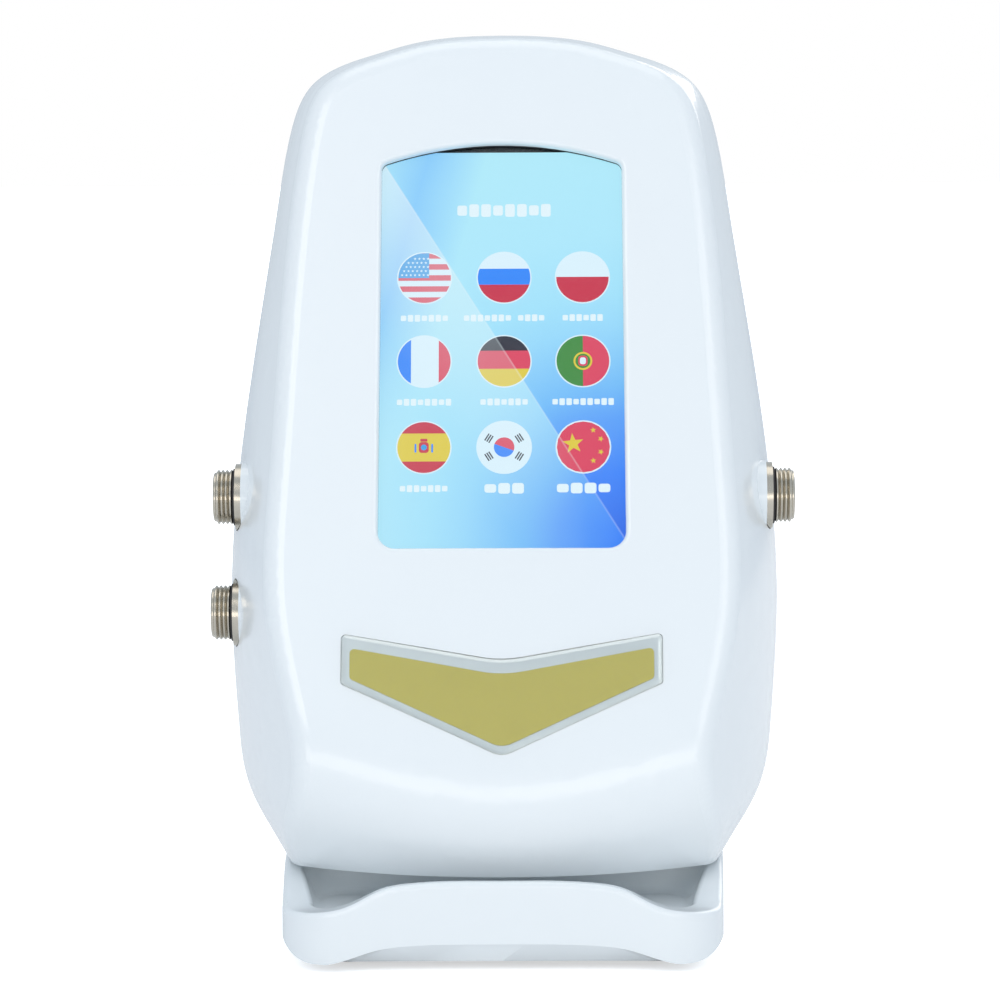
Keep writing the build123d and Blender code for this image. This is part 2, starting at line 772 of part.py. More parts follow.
# Display stack: foam gasket, touch glass, display panel and its board, all parallel to the face
def face_slab(depth, thickness, width, length, middle):
    """A flat slab with rounded corners, sunk below the face and centred up the slope."""
    with BuildPart() as slab:
        with BuildSketch(face_plane(depth)):
            with Locations((0, middle)):
                RectangleRounded(width, length, glass_corner_radius)
        extrude(amount=-thickness)
    return slab.part


gasket_width = window_bottom_width + 2 * gasket_border
gasket_length = window_top - window_bottom + 2 * gasket_border
window_middle = (window_top + window_bottom) / 2
with BuildPart() as screen_gasket:
    add(face_slab(glass_depth - gasket_thickness, gasket_thickness, gasket_width, gasket_length,
                  window_middle))
    with BuildSketch(face_plane(glass_depth)):
        add(window_outline.sketch)
    extrude(amount=gasket_thickness, mode=Mode.SUBTRACT)
finish(screen_gasket.part, "screen_gasket")

touch_glass = face_slab(glass_depth, glass_thickness, glass_width, glass_length, glass_middle)
finish(touch_glass, "touch_glass")

display_panel = face_slab(panel_depth, panel_thickness, panel_width, panel_length, glass_middle)
finish(display_panel, "display_panel")

with BuildPart() as display_board:
    add(face_slab(board_depth, board_thickness, display_board_width, display_board_length, glass_middle))
    with BuildSketch(face_plane(board_depth)):
        with Locations((0, glass_middle)):
            with GridLocations(*display_screw_spacing, 2, 2):
                Circle(small_screw[0] / 2 + seat_clearance)
    extrude(amount=-board_thickness, mode=Mode.SUBTRACT)
finish(display_board.part, "display_board")

board_back = board_depth + board_thickness
display_screws = []
for x in (-display_screw_spacing[0] / 2, display_screw_spacing[0] / 2):
    for rise in (-display_screw_spacing[1] / 2, display_screw_spacing[1] / 2):
        back = face_plane(board_back)
        seat = back.from_local_coords(Vector(x, glass_middle + rise, 0))
        plane = Plane(origin=seat, x_dir=(-1, 0, 0), z_dir=-back.z_dir)
        display_screws.append(screw(plane, small_screw, small_screw_length))
finish(group(display_screws), "display_screws")

with BuildPart() as display_chips:
    with BuildSketch(face_plane(board_back)):
        for x, rise, width, length in display_chip_places:
            with Locations((x, glass_middle + rise)):
                Rectangle(width, length)
    extrude(amount=-chip_height)
finish(display_chips.part, "display_chips")

with BuildPart() as ribbon_socket:
    with BuildSketch(face_plane(board_back)):
        with Locations((0, glass_middle - display_board_length / 2 + ribbon_socket_size[1])):
            Rectangle(*ribbon_socket_size)
    extrude(amount=-ribbon_socket_height)
    with BuildSketch(face_plane(board_back + ribbon_socket_height)):
        with Locations((0, glass_middle - display_board_length / 2 + ribbon_socket_size[1])):
            Rectangle(ribbon_socket_size[0] - 2 * glass_corner_radius, ribbon_socket_size[1] / 2)
    extrude(amount=ribbon_socket_height / 2, mode=Mode.SUBTRACT)
finish(ribbon_socket.part, "ribbon_socket")

# Badge: silver foil, gold plate and a clear bevelled dome, stacked in the recess
with BuildPart() as badge_foil:
    with BuildSketch(face_plane(badge_recess_depth)):
        add(badge_outline(badge_clearance))
    extrude(amount=foil_thickness)
finish(badge_foil.part, "badge_foil")

with BuildPart() as badge_plate:
    with BuildSketch(face_plane(badge_recess_depth - foil_thickness)):
        add(badge_outline(badge_border))
    extrude(amount=plate_thickness)
finish(badge_plate.part, "badge_plate")

with BuildPart() as badge_dome:
    with BuildSketch(face_plane(badge_recess_depth - foil_thickness)):
        add(badge_outline(badge_clearance))
    extrude(amount=badge_recess_depth - foil_thickness + dome_rise)
    dome_top = badge_dome.faces().sort_by(Axis((0, 0, 0), tuple(face_plane().z_dir)))[-1]
    chamfer(dome_top.edges(), length=dome_rise, length2=dome_bevel)
    with BuildSketch(face_plane(badge_recess_depth - foil_thickness)):
        add(badge_outline(badge_border - badge_clearance))
    extrude(amount=plate_thickness, mode=Mode.SUBTRACT)
finish(badge_dome.part, "badge_dome")


# Threaded sockets: shell, insulator, contacts, sealing ring and nut, built along their own axis
def socket_shell(plane):
    """A turned shell: rear barrel, flange, sealing neck and threaded nose with a deep mouth."""
    flange = socket_flange_diameter / 2
    barrel = socket_barrel_diameter / 2
    crest = socket_thread_diameter / 2
    root = crest - socket_thread_depth
    neck = root - seat_clearance
    thread_start = socket_flange_thickness + socket_neck_length
    thread_end = thread_start + socket_thread_turns * socket_thread_pitch
    profile = [(0, -socket_barrel_length), (barrel, -socket_barrel_length), (barrel, 0), (flange, 0),
               (flange, socket_flange_thickness), (neck, socket_flange_thickness), (neck, thread_start)]
    for turn in range(socket_thread_turns):
        start = thread_start + turn * socket_thread_pitch
        profile += [(root, start), (crest, start + socket_thread_pitch * thread_rise_share),
                    (crest, start + socket_thread_pitch * thread_fall_share)]
    profile += [(root, thread_end), (root, thread_end + socket_lead_in),
                (root - socket_lead_in, thread_end + 2 * socket_lead_in), (0, thread_end + 2 * socket_lead_in)]
    with BuildPart() as piece:
        with BuildSketch(Plane(origin=plane.origin, x_dir=plane.x_dir, z_dir=-plane.y_dir)):
            with BuildLine():
                Polyline(*profile, close=True)
            make_face()
        revolve(axis=Axis(plane.origin, plane.z_dir))
        with BuildSketch(plane.offset(thread_end + 2 * socket_lead_in)):
            Circle(socket_bore_diameter / 2)
        extrude(amount=-socket_barrel_length - thread_end - 2 * socket_lead_in, mode=Mode.SUBTRACT)
        with BuildSketch(plane.offset(insulator_rise + contact_rise + seat_clearance)):
            Circle(socket_mouth_diameter / 2)
        extrude(amount=thread_end, mode=Mode.SUBTRACT)
    return piece.part


def socket_insulator(plane):
    """The disc that holds the contacts."""
    with BuildPart() as piece:
        with BuildSketch(plane.offset(-socket_barrel_length)):
            Circle(socket_bore_diameter / 2 - running_clearance)
        extrude(amount=socket_barrel_length + insulator_rise)
        with BuildSketch(plane.offset(insulator_rise)):
            with PolarLocations(contact_circle / 2, contacts):
                Circle(contact_diameter / 2 + running_clearance)
        extrude(amount=-socket_barrel_length - insulator_rise, mode=Mode.SUBTRACT)
    return piece.part


def socket_contacts(plane):
    """Round contacts that pass through the insulator, with solder tails behind."""
    with BuildPart() as piece:
        with BuildSketch(plane.offset(-socket_barrel_length - contact_tail)):
            with PolarLocations(contact_circle / 2, contacts):
                Circle(contact_diameter / 2)
        extrude(amount=socket_barrel_length + contact_tail + insulator_rise + contact_rise)
        tips = piece.faces().group_by(Axis(plane.origin, plane.z_dir))[-1]
        fillet(tips.edges(), radius=contact_diameter * contact_tip_share)
    return group(piece.part.solids())


def socket_nut(plane):
    """The hexagonal nut that clamps the pad of the casing from inside."""
    with BuildPart() as piece:
        with BuildSketch(plane.offset(-socket_pad_thickness)):
            RegularPolygon(socket_nut_across_flats / 2, 6, rotation=socket_nut_turn, major_radius=False)
            Circle(socket_barrel_diameter / 2 + running_clearance, mode=Mode.SUBTRACT)
        extrude(amount=-socket_nut_thickness)
    return piece.part


for name, place in socket_places.items():
    seat = socket_plane(*place)
    finish(socket_shell(seat), f"{name}_socket_shell")
    finish(socket_insulator(seat), f"{name}_socket_insulator")
    finish(socket_contacts(seat), f"{name}_socket_contacts")
    finish(socket_nut(seat), f"{name}_socket_nut")
    neck_radius = socket_thread_diameter / 2 - socket_thread_depth - seat_clearance
    seal_plane = seat.offset(socket_flange_thickness)
    finish(ring(seal_plane, neck_radius + seal_height, neck_radius, socket_neck_length), f"{name}_socket_seal")


# Foot fittings: bottom plate, rubber feet and the screws that hold the plate and the casing
def placed_screws(places, height, sizes, length):
    """Screws driven upwards, with their heads hanging under a height."""
    screws = []
    for x, y in places:
        under = Plane(origin=(x, y, height), x_dir=(1, 0, 0), z_dir=(0, 0, -1))
        screws.append(screw(under, sizes, length))
    return group(screws)


with BuildPart() as bottom_plate:
    with BuildSketch(Plane.XY.offset(foot_lift)):
        add(deck_cavity_plan(bottom_plate_clearance))
        with Locations(*plate_post_places):
            Circle(small_screw[0] / 2 + seat_clearance, mode=Mode.SUBTRACT)
    extrude(amount=bottom_plate_thickness)
finish(bottom_plate.part, "bottom_plate")
finish(placed_screws(plate_post_places, foot_lift, plate_screw, small_screw_length), "bottom_plate_screws")
deck_underside = deck_height - deck_thickness
deck_screw_length = deck_thickness + deck_screw_reach
finish(placed_screws(deck_screw_places, deck_underside, deck_screw, deck_screw_length), "deck_screws")

rubber_feet = []
for x, y in foot_pad_places:
    with BuildPart() as foot_pad:
        with BuildSketch():
            with Locations((x, y)):
                Circle(foot_pad_diameter / 2)
        extrude(amount=foot_pad_height)
        chamfer(foot_pad.faces().sort_by(Axis.Z)[0].edges(), length=foot_pad_chamfer)
    rubber_feet.append(foot_pad.part)
finish(group(rubber_feet), "rubber_feet")

casing_screws = []
for x, height in post_places:
    seat = along_y(x, parting_setback(height) + post_seat_depth, height)
    casing_screws.append(screw(seat, casing_screw, casing_screw_length))
finish(group(casing_screws), "casing_screws")


# Mains inlet: a moulded body with a plug cavity, a fuse drawer and a rocker
def inlet_plane(rise=0, depth=0):
    """The rear skin at a height above the middle of the inlet, sunk by a depth."""
    skin = rear_plane(depth)
    origin = skin.from_local_coords(Vector(0, inlet_height + rise, 0))
    return Plane(origin=origin, x_dir=skin.x_dir, z_dir=skin.z_dir)


pivot = inlet_plane(rocker_rise, rocker_pivot_depth - inlet_flange_thickness)
rocker_frame = Plane(origin=pivot.origin, x_dir=pivot.x_dir, z_dir=-pivot.y_dir)
rocker_pin_reach = rocker_size[1] / 2 + rocker_clearance + rocker_pin_length
with BuildPart() as inlet_housing:
    with BuildSketch(inlet_plane()):
        Rectangle(*inlet_flange)
        Rectangle(*inlet_ears)
    extrude(amount=inlet_flange_thickness)
    fillet(inlet_housing.edges().filter_by(Axis(pivot.origin, pivot.z_dir)), radius=inlet_corner_radius)
    fillet(inlet_housing.faces().sort_by(Axis.Y)[-1].edges(), radius=inlet_edge_radius)
    with BuildSketch(inlet_plane()):
        Rectangle(*inlet_body)
    extrude(amount=-inlet_body_depth)
    with BuildSketch(inlet_plane(-plug_cavity_drop, -inlet_flange_thickness)) as plug_cavity:
        Rectangle(*plug_cavity_size)
        chamfer(plug_cavity.vertices().group_by(Axis.Z)[-1], length=plug_cavity_chamfer)
    extrude(amount=-plug_cavity_depth, mode=Mode.SUBTRACT)
    with BuildSketch(inlet_plane(drawer_rise, -inlet_flange_thickness)):
        Rectangle(drawer_size[0] + 2 * drawer_clearance, drawer_size[1] + 2 * drawer_clearance)
    extrude(amount=-drawer_depth - drawer_clearance, mode=Mode.SUBTRACT)
    with BuildSketch(inlet_plane(rocker_rise, -inlet_flange_thickness)):
        Rectangle(rocker_size[0] + 2 * rocker_clearance, rocker_size[1] + 2 * rocker_clearance)
    extrude(amount=-rocker_size[0] / 2 - rocker_clearance - rocker_pivot_depth, mode=Mode.SUBTRACT)
    with BuildSketch(rocker_frame.offset(-rocker_pin_reach - running_clearance)):
        Circle(rocker_pin_diameter / 2 + running_clearance)
    extrude(amount=2 * rocker_pin_reach + 2 * running_clearance, mode=Mode.SUBTRACT)
    with BuildSketch(inlet_plane()):
        with GridLocations(inlet_screw_spacing, 0, 2, 1):
            Circle(casing_screw[0] / 2 + seat_clearance)
    extrude(amount=inlet_flange_thickness, mode=Mode.SUBTRACT)
    with BuildSketch(inlet_plane(-plug_cavity_drop, inlet_body_depth)):
        with Locations(*blade_places):
            Rectangle(*blade_size)
    extrude(amount=inlet_body_depth, mode=Mode.SUBTRACT)
finish(inlet_housing.part, "inlet_housing")

with BuildPart() as inlet_blades:
    with BuildSketch(inlet_plane(-plug_cavity_drop, inlet_body_depth + blade_tail)):
        with Locations(*blade_places):
            Rectangle(*blade_size)
    extrude(amount=inlet_body_depth + blade_tail - blade_setback)
finish(group(inlet_blades.part.solids()), "inlet_blades")

inlet_screws = []
for x in (-inlet_screw_spacing / 2, inlet_screw_spacing / 2):
    seat = inlet_plane(0, -inlet_flange_thickness)
    plane = Plane(origin=seat.from_local_coords(Vector(x, 0, 0)), x_dir=seat.x_dir, z_dir=seat.z_dir)
    inlet_screws.append(screw(plane, casing_screw, inlet_flange_thickness + 2 * wall))
finish(group(inlet_screws), "inlet_screws")

with BuildPart() as fuse_drawer:
    with BuildSketch(inlet_plane(drawer_rise, drawer_depth - inlet_flange_thickness)):
        Rectangle(*drawer_size)
    extrude(amount=drawer_depth)
    with BuildSketch(inlet_plane(drawer_rise, -inlet_flange_thickness - seat_clearance)):
        RectangleRounded(drawer_size[0] + 2 * drawer_lip, drawer_size[1] + 2 * drawer_lip, drawer_lip)
    extrude(amount=drawer_face_thickness)
    with BuildSketch(inlet_plane(drawer_rise, -inlet_flange_thickness)):
        Rectangle(drawer_size[0], drawer_size[1])
    extrude(amount=-seat_clearance, both=True)
    with BuildSketch(inlet_plane(drawer_rise + fuse_rise, fuse_place_depth - inlet_flange_thickness)):
        Rectangle(fuse_length + 2 * drawer_clearance, fuse_diameter + 2 * drawer_clearance)
        with Locations((0, drawer_size[1] / 2)):
            Rectangle(fuse_length + 2 * drawer_clearance, drawer_size[1])
    extrude(amount=(fuse_diameter + 2 * drawer_clearance) / 2, both=True, mode=Mode.SUBTRACT)
    grip = inlet_plane(drawer_rise, -inlet_flange_thickness - seat_clearance - drawer_face_thickness)
    with BuildSketch(grip):
        Rectangle(drawer_size[0] / 3, drawer_size[1] / 3)
    extrude(amount=-drawer_face_thickness / 2, mode=Mode.SUBTRACT)
finish(fuse_drawer.part, "fuse_drawer")

fuse_middle = inlet_plane(drawer_rise + fuse_rise, fuse_place_depth - inlet_flange_thickness)
fuse_plane = Plane(origin=fuse_middle.origin, x_dir=fuse_middle.y_dir, z_dir=fuse_middle.x_dir)
with BuildPart() as fuse:
    with BuildSketch(fuse_plane):
        Circle(fuse_diameter / 2 - fuse_glass_step)
    extrude(amount=fuse_length / 2, both=True)
    for side in (-1, 1):
        with BuildSketch(fuse_plane.offset(side * fuse_length / 2)):
            Circle(fuse_diameter / 2)
        extrude(amount=-side * fuse_cap_length)
finish(fuse.part, "fuse")

rocker_reach = rocker_size[0] / 2
rocker_half = rocker_reach * math.cos(math.asin(rocker_end_height / rocker_reach))
with BuildPart() as power_rocker:
    with BuildSketch(rocker_frame.offset(-rocker_size[1] / 2)):
        with BuildLine():
            near_end = (rocker_half, rocker_end_height)
            far_end = (-rocker_half, rocker_end_height)
            RadiusArc(far_end, near_end, rocker_reach, short_sagitta=False)
            ThreePointArc(near_end, (0, rocker_middle_height), far_end)
        make_face()
    extrude(amount=rocker_size[1])
    with BuildSketch(rocker_frame.offset(-rocker_pin_reach)):
        Circle(rocker_pin_diameter / 2)
    extrude(amount=2 * rocker_pin_reach)
tilted_rocker = power_rocker.part.rotate(Axis(rocker_frame.origin, rocker_frame.z_dir), rocker_tilt)
finish(tilted_rocker, "power_rocker")


# Fan: frame with its motor boss on struts, rotor on a short shaft, screws and nuts
def fan_plane(depth=0):
    """The inner skin of the rear casing at the middle of the fan, sunk further by a depth."""
    skin = rear_plane(wall + fan_setting + depth)
    return Plane(origin=skin.from_local_coords(Vector(0, fan_height, 0)), x_dir=skin.x_dir, z_dir=skin.z_dir)


motor_depth = fan_depth - fan_motor_depth
with BuildPart() as fan_frame:
    with BuildSketch(fan_plane()):
        RectangleRounded(fan_size, fan_size, fan_corner_radius)
        Circle(fan_bore / 2, mode=Mode.SUBTRACT)
        with GridLocations(fan_screw_spacing, fan_screw_spacing, 2, 2):
            Circle(casing_screw[0] / 2 + seat_clearance, mode=Mode.SUBTRACT)
    extrude(amount=-fan_depth)
    with BuildSketch(fan_plane(motor_depth)):
        Circle(fan_hub_diameter / 2)
        with PolarLocations(0, fan_struts):
            Rectangle(fan_bore / 2 + fan_strut_width / 2, fan_strut_width, align=(Align.MIN, Align.CENTER))
        Circle(fan_shaft_diameter / 2 + running_clearance, mode=Mode.SUBTRACT)
    extrude(amount=-fan_motor_depth)
finish(fan_frame.part, "fan_frame")

def blade_plane(around, radius, pitch):
    """A plane square to a spoke of the rotor, turned to the pitch of the blade there."""
    hub = fan_plane(motor_depth - fan_hub_gap - fan_hub_depth / 2)
    turn, tilt = math.radians(around), math.radians(pitch)
    spoke = hub.x_dir * math.cos(turn) + hub.y_dir * math.sin(turn)
    along = hub.y_dir * math.cos(turn) - hub.x_dir * math.sin(turn)
    chord = along * math.cos(tilt) + hub.z_dir * math.sin(tilt)
    return Plane(origin=hub.origin + spoke * radius, x_dir=chord, z_dir=spoke)


with BuildPart() as fan_rotor:
    with BuildSketch(fan_plane(motor_depth - fan_hub_gap)):
        Circle(fan_hub_diameter / 2)
    extrude(amount=fan_hub_depth)
    fillet(fan_rotor.faces().sort_by(Axis.Y)[-1].edges(), radius=fan_hub_radius)
    for blade in range(fan_blades):
        around = 360 * blade / fan_blades
        with BuildSketch(blade_plane(around, fan_hub_diameter / 2 - fan_blade_root, fan_blade_pitch)):
            SlotOverall(fan_blade_root_chord, fan_blade_thickness)
        with BuildSketch(blade_plane(around, fan_bore / 2 - fan_blade_gap, fan_blade_pitch - fan_blade_twist)):
            SlotOverall(fan_blade_tip_chord, fan_blade_thickness)
        loft()
    with BuildSketch(fan_plane(motor_depth - fan_hub_gap)):
        Circle(fan_shaft_diameter / 2)
    extrude(amount=-fan_hub_gap - fan_motor_depth)
finish(fan_rotor.part, "fan_rotor")


# Boards: the power board stands on the floor and carries the driver board on long standoffs
def board_plane(height):
    """A level plane over the middle of the boards."""
    return Plane(origin=(0, front_y + board_setback + board_length / 2, height))


def on_holes():
    """The four fixing holes of a board."""
    return GridLocations(board_width - 2 * board_hole_inset, board_length - 2 * board_hole_inset, 2, 2)


def circuit_board(height):
    """A flat board with a hole near each corner."""
    with BuildPart() as piece:
        with BuildSketch(board_plane(height)):
            RectangleRounded(board_width, board_length, block_radius)
            with on_holes():
                Circle(standoff_hole / 2 + seat_clearance, mode=Mode.SUBTRACT)
        extrude(amount=board_thickness)
    return piece.part


def standoffs(low, high, spigot):
    """Hexagonal brass pillars between two levels, tapped below and with a threaded end above."""
    with BuildPart() as piece:
        with BuildSketch(board_plane(low)):
            with on_holes():
                RegularPolygon(standoff_width / 2, 6, major_radius=False)
        extrude(amount=high - low)
        with BuildSketch(board_plane(high)):
            with on_holes():
                Circle(standoff_hole / 2)
        extrude(amount=spigot)
        with BuildSketch(board_plane(low)):
            with on_holes():
                Circle(standoff_hole / 2 + running_clearance)
        extrude(amount=standoff_tapping, mode=Mode.SUBTRACT)
    return group(piece.part.solids())


def blocks(height, places, rise):
    """Square housings that stand on a board, each given by its place and footprint."""
    with BuildPart() as piece:
        with BuildSketch(board_plane(height)):
            for x, y, width, length in places:
                with Locations((x, y)):
                    RectangleRounded(width, length, block_radius)
        extrude(amount=rise)
        fillet(piece.faces().group_by(Axis.Z)[-1].edges(), radius=block_radius / 2)
    return group(piece.part.solids())


def ferrite_core(height, x, y, size, leg):
    """A closed ferrite frame that stands on edge, with a middle leg."""
    width, length, rise = size
    window = width / 2 - 3 * leg / 2
    standing = Plane(origin=(x, board_plane(height).origin.Y + y + length / 2, height + rise / 2),
                     x_dir=(1, 0, 0), z_dir=(0, -1, 0))
    with BuildPart() as piece:
        with BuildSketch(standing):
            Rectangle(width, rise)
            with Locations((-window / 2 - leg / 2, 0), (window / 2 + leg / 2, 0)):
                Rectangle(window, rise - 2 * leg, mode=Mode.SUBTRACT)
        extrude(amount=length)
    return piece.part


def core_winding(height, x, y, size, leg):
    """The winding on its bobbin round the middle leg of a core."""
    width, length, rise = size
    window = width / 2 - 3 * leg / 2
    middle = board_plane(height + leg + seat_clearance)
    with BuildPart() as piece:
        with BuildSketch(middle):
            with Locations((x, y)):
                RectangleRounded(leg + 2 * window - 2 * winding_clearance, length + 2 * window, window / 2)
                Rectangle(leg + 2 * seat_clearance, length + 2 * seat_clearance, mode=Mode.SUBTRACT)
        extrude(amount=rise - 2 * leg - 2 * seat_clearance)
    return piece.part


def finned_block(height, x, y, size, fins):
    """A heat sink: a base plate on edge with upright fins."""
    width, length, rise = size
    gap = (width - fins * fin_thickness) / (fins - 1)
    with BuildPart() as piece:
        with BuildSketch(board_plane(height)):
            with Locations((x, y)):
                Rectangle(width, length)
            with Locations((x, y + fin_thickness)):
                with GridLocations(fin_thickness + gap, 0, fins - 1, 1):
                    Rectangle(gap, length, mode=Mode.SUBTRACT)
        extrude(amount=rise)
    return piece.part


def stacked_capacitors(height):
    """Electrolytic capacitors with a rolled groove under the top."""
    cans = []
    for x, y, diameter, rise in capacitor_places:
        with BuildPart() as can:
            with BuildSketch(board_plane(height)):
                with Locations((x, y)):
                    Circle(diameter / 2)
            extrude(amount=rise)
            fillet(can.faces().sort_by(Axis.Z)[-1].edges(), radius=block_radius / 2)
        cans.append(can.part)
    return group(cans)


floor_top = deck_height + wall
power_top = power_board_height + board_thickness
driver_top = driver_board_height + board_thickness
finish(circuit_board(power_board_height), "power_board")
finish(circuit_board(driver_board_height), "driver_board")
finish(standoffs(floor_top, power_board_height, board_thickness + standoff_tapping - seat_clearance),
       "short_standoffs")
finish(standoffs(power_top, driver_board_height, board_thickness + standoff_spigot), "long_standoffs")
board_nuts = []
for spot in on_holes().locations:
    place = board_plane(driver_top)
    with BuildPart() as nut:
        with BuildSketch(place):
            with Locations((spot.position.X, spot.position.Y)):
                RegularPolygon(standoff_width / 2, 6, major_radius=False)
                Circle(standoff_hole / 2 + running_clearance, mode=Mode.SUBTRACT)
        extrude(amount=board_nut_thickness)
    board_nuts.append(nut.part)
finish(group(board_nuts), "driver_board_nuts")
finish(ferrite_core(power_top, *power_core_place, power_core_size, power_core_leg), "power_transformer_core")
finish(core_winding(power_top, *power_core_place, power_core_size, power_core_leg),
       "power_transformer_winding")
finish(ferrite_core(driver_top, *driver_core_place, driver_core_size, driver_core_leg),
       "output_transformer_core")
finish(core_winding(driver_top, *driver_core_place, driver_core_size, driver_core_leg),
       "output_transformer_winding")
finish(stacked_capacitors(power_top), "power_capacitors")
finish(finned_block(power_top, *power_sink_place, power_sink_size, power_sink_fins), "power_heat_sink")
finish(finned_block(driver_top, *driver_sink_place, driver_sink_size, driver_sink_fins), "driver_heat_sink")
finish(blocks(driver_top, relay_places, relay_height), "driver_relays")
finish(blocks(power_top, terminal_places, terminal_height), "board_terminals")
with BuildPart() as buzzer:
    with BuildSketch(board_plane(driver_top)):
        with Locations(buzzer_place):
            Circle(buzzer_diameter / 2)
    extrude(amount=buzzer_height)
    with BuildSketch(board_plane(driver_top + buzzer_height)):
        with Locations(buzzer_place):
            Circle(buzzer_diameter * buzzer_hole_share)
    extrude(amount=-buzzer_height / 2, mode=Mode.SUBTRACT)
finish(buzzer.part, "buzzer")
fan_nuts = []
for spot in GridLocations(fan_screw_spacing, fan_screw_spacing, 2, 2).locations:
    skin = rear_plane()
    seat = Vector(spot.position.X, fan_height + spot.position.Y, 0)
    back = fan_plane(fan_depth)
    nut_seat = back.from_local_coords(Vector(spot.position.X, spot.position.Y, 0))
    with BuildPart() as nut:
        with BuildSketch(Plane(origin=nut_seat, x_dir=back.x_dir, z_dir=-back.z_dir)):
            RegularPolygon(standoff_width / 2, 6, major_radius=False)
            Circle(casing_screw[0] / 2 + running_clearance, mode=Mode.SUBTRACT)
        extrude(amount=board_nut_thickness)
    fan_nuts.append(nut.part)
finish(group(fan_nuts), "fan_nuts")
fan_screws = []
for spot in GridLocations(fan_screw_spacing, fan_screw_spacing, 2, 2).locations:
    skin = rear_plane()
    seat = skin.from_local_coords(Vector(spot.position.X, fan_height + spot.position.Y, 0))
    outward = Plane(origin=seat, x_dir=skin.x_dir, z_dir=skin.z_dir)
    fan_screws.append(screw(outward, casing_screw, wall + fan_setting + fan_depth + board_nut_thickness))
finish(group(fan_screws), "fan_screws")
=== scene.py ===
"""Finishes for a tabletop slimming machine: glossy white mouldings, a lit touch screen,
a clear domed badge, nickel sockets and the black fittings of the rear panel."""
import math
import bmesh
import bpy
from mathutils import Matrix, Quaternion, Vector


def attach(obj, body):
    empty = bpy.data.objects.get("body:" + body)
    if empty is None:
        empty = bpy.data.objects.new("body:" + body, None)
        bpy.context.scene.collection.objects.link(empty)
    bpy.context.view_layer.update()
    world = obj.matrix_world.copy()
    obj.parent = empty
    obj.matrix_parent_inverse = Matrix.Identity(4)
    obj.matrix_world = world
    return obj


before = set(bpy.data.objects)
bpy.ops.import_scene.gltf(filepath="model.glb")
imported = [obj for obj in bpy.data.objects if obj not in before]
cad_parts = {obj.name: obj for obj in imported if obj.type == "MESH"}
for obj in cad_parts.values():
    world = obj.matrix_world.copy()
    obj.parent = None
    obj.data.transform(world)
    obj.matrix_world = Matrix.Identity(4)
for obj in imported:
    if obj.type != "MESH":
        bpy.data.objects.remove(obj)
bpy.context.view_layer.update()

MM = 0.001

# The sloping face: its lean, the point that heights on it start from, and its directions
face_lean = math.radians(22)
face_origin = Vector((0, -0.074, 0.0433))
face_up = Vector((0, math.sin(face_lean), math.cos(face_lean)))
face_out = Vector((0, -math.cos(face_lean), math.sin(face_lean)))

# The lit picture in millimetres: its width and height, and how far up the face its middle lies
screen_width, screen_height = 64.8, 110.5
screen_middle = 124.25


def on_face(u, v, depth):
    """A point of the sloping face in millimetres: across, up the slope, and below the skin."""
    return (face_origin + Vector((u * MM, 0, 0)) + face_up * (v * MM)
            - face_out * (depth * MM))


# Small helpers for shader trees

def feed(tree, value, socket):
    """Gives a socket the output of another one, or a plain value."""
    if isinstance(value, bpy.types.NodeSocket):
        tree.links.new(value, socket)
    else:
        socket.default_value = value


def new_group(name, inputs, outputs):
    """A shader group with named sockets, with what it is given and what it hands on."""
    group = bpy.data.node_groups.new(name, "ShaderNodeTree")
    for label, kind, value in inputs:
        socket = group.interface.new_socket(name=label, in_out="INPUT",
                                            socket_type="NodeSocket" + kind)
        if value is not None:
            socket.default_value = value
    for label, kind in outputs:
        group.interface.new_socket(name=label, in_out="OUTPUT", socket_type="NodeSocket" + kind)
    entry = group.nodes.new("NodeGroupInput")
    way_out = group.nodes.new("NodeGroupOutput")
    return group, entry.outputs, way_out.inputs


def place_group(tree, group, **values):
    """A shader group in a tree, with sockets or plain values for its inputs."""
    node = tree.nodes.new("ShaderNodeGroup")
    node.node_tree = group
    for label, value in values.items():
        feed(tree, value, node.inputs[label.replace("_", " ")])
    return node


def math_node(tree, operation, *values):
    """A math node over sockets or plain numbers; gives its output."""
    node = tree.nodes.new("ShaderNodeMath")
    node.operation = operation
    for value, socket in zip(values, node.inputs):
        feed(tree, value, socket)
    return node.outputs[0]


def map_range(tree, value, old, new):
    """A value clamped to one range and carried over to another; gives its output."""
    node = tree.nodes.new("ShaderNodeMapRange")
    for label, number in zip(("From Min", "From Max", "To Min", "To Max"), (*old, *new)):
        node.inputs[label].default_value = number
    feed(tree, value, node.inputs["Value"])
    return node.outputs["Result"]


def mix_colours(tree, share, first, second):
    """A colour between two, at a share from 0 to 1; gives its output."""
    node = tree.nodes.new("ShaderNodeMix")
    node.data_type = "RGBA"
    for label, value in (("Factor", share), ("A", first), ("B", second)):
        feed(tree, value, node.inputs[label])
    return node.outputs["Result"]


def noise(tree, where, scale, detail, rough):
    """A noise pattern with about so many spots to the metre; gives its value."""
    node = tree.nodes.new("ShaderNodeTexNoise")
    for label, value in (("Vector", where), ("Scale", scale), ("Detail", detail),
                         ("Roughness", rough)):
        feed(tree, value, node.inputs[label])
    return node.outputs["Fac"]


def object_coordinates(tree):
    """The coordinates of the piece itself, in metres."""
    return tree.nodes.new("ShaderNodeTexCoord").outputs["Object"]


def ray_kind(tree, kind):
    """Is 1 for rays of one kind and 0 for all others."""
    return tree.nodes.new("ShaderNodeLightPath").outputs[f"Is {kind} Ray"]


def seen_by_camera(tree):
    """Is 1 for rays that come from the camera or through glass, and 0 for all others."""
    return math_node(tree, "MAXIMUM", ray_kind(tree, "Camera"), ray_kind(tree, "Transmission"))


# Shader groups that several finishes share

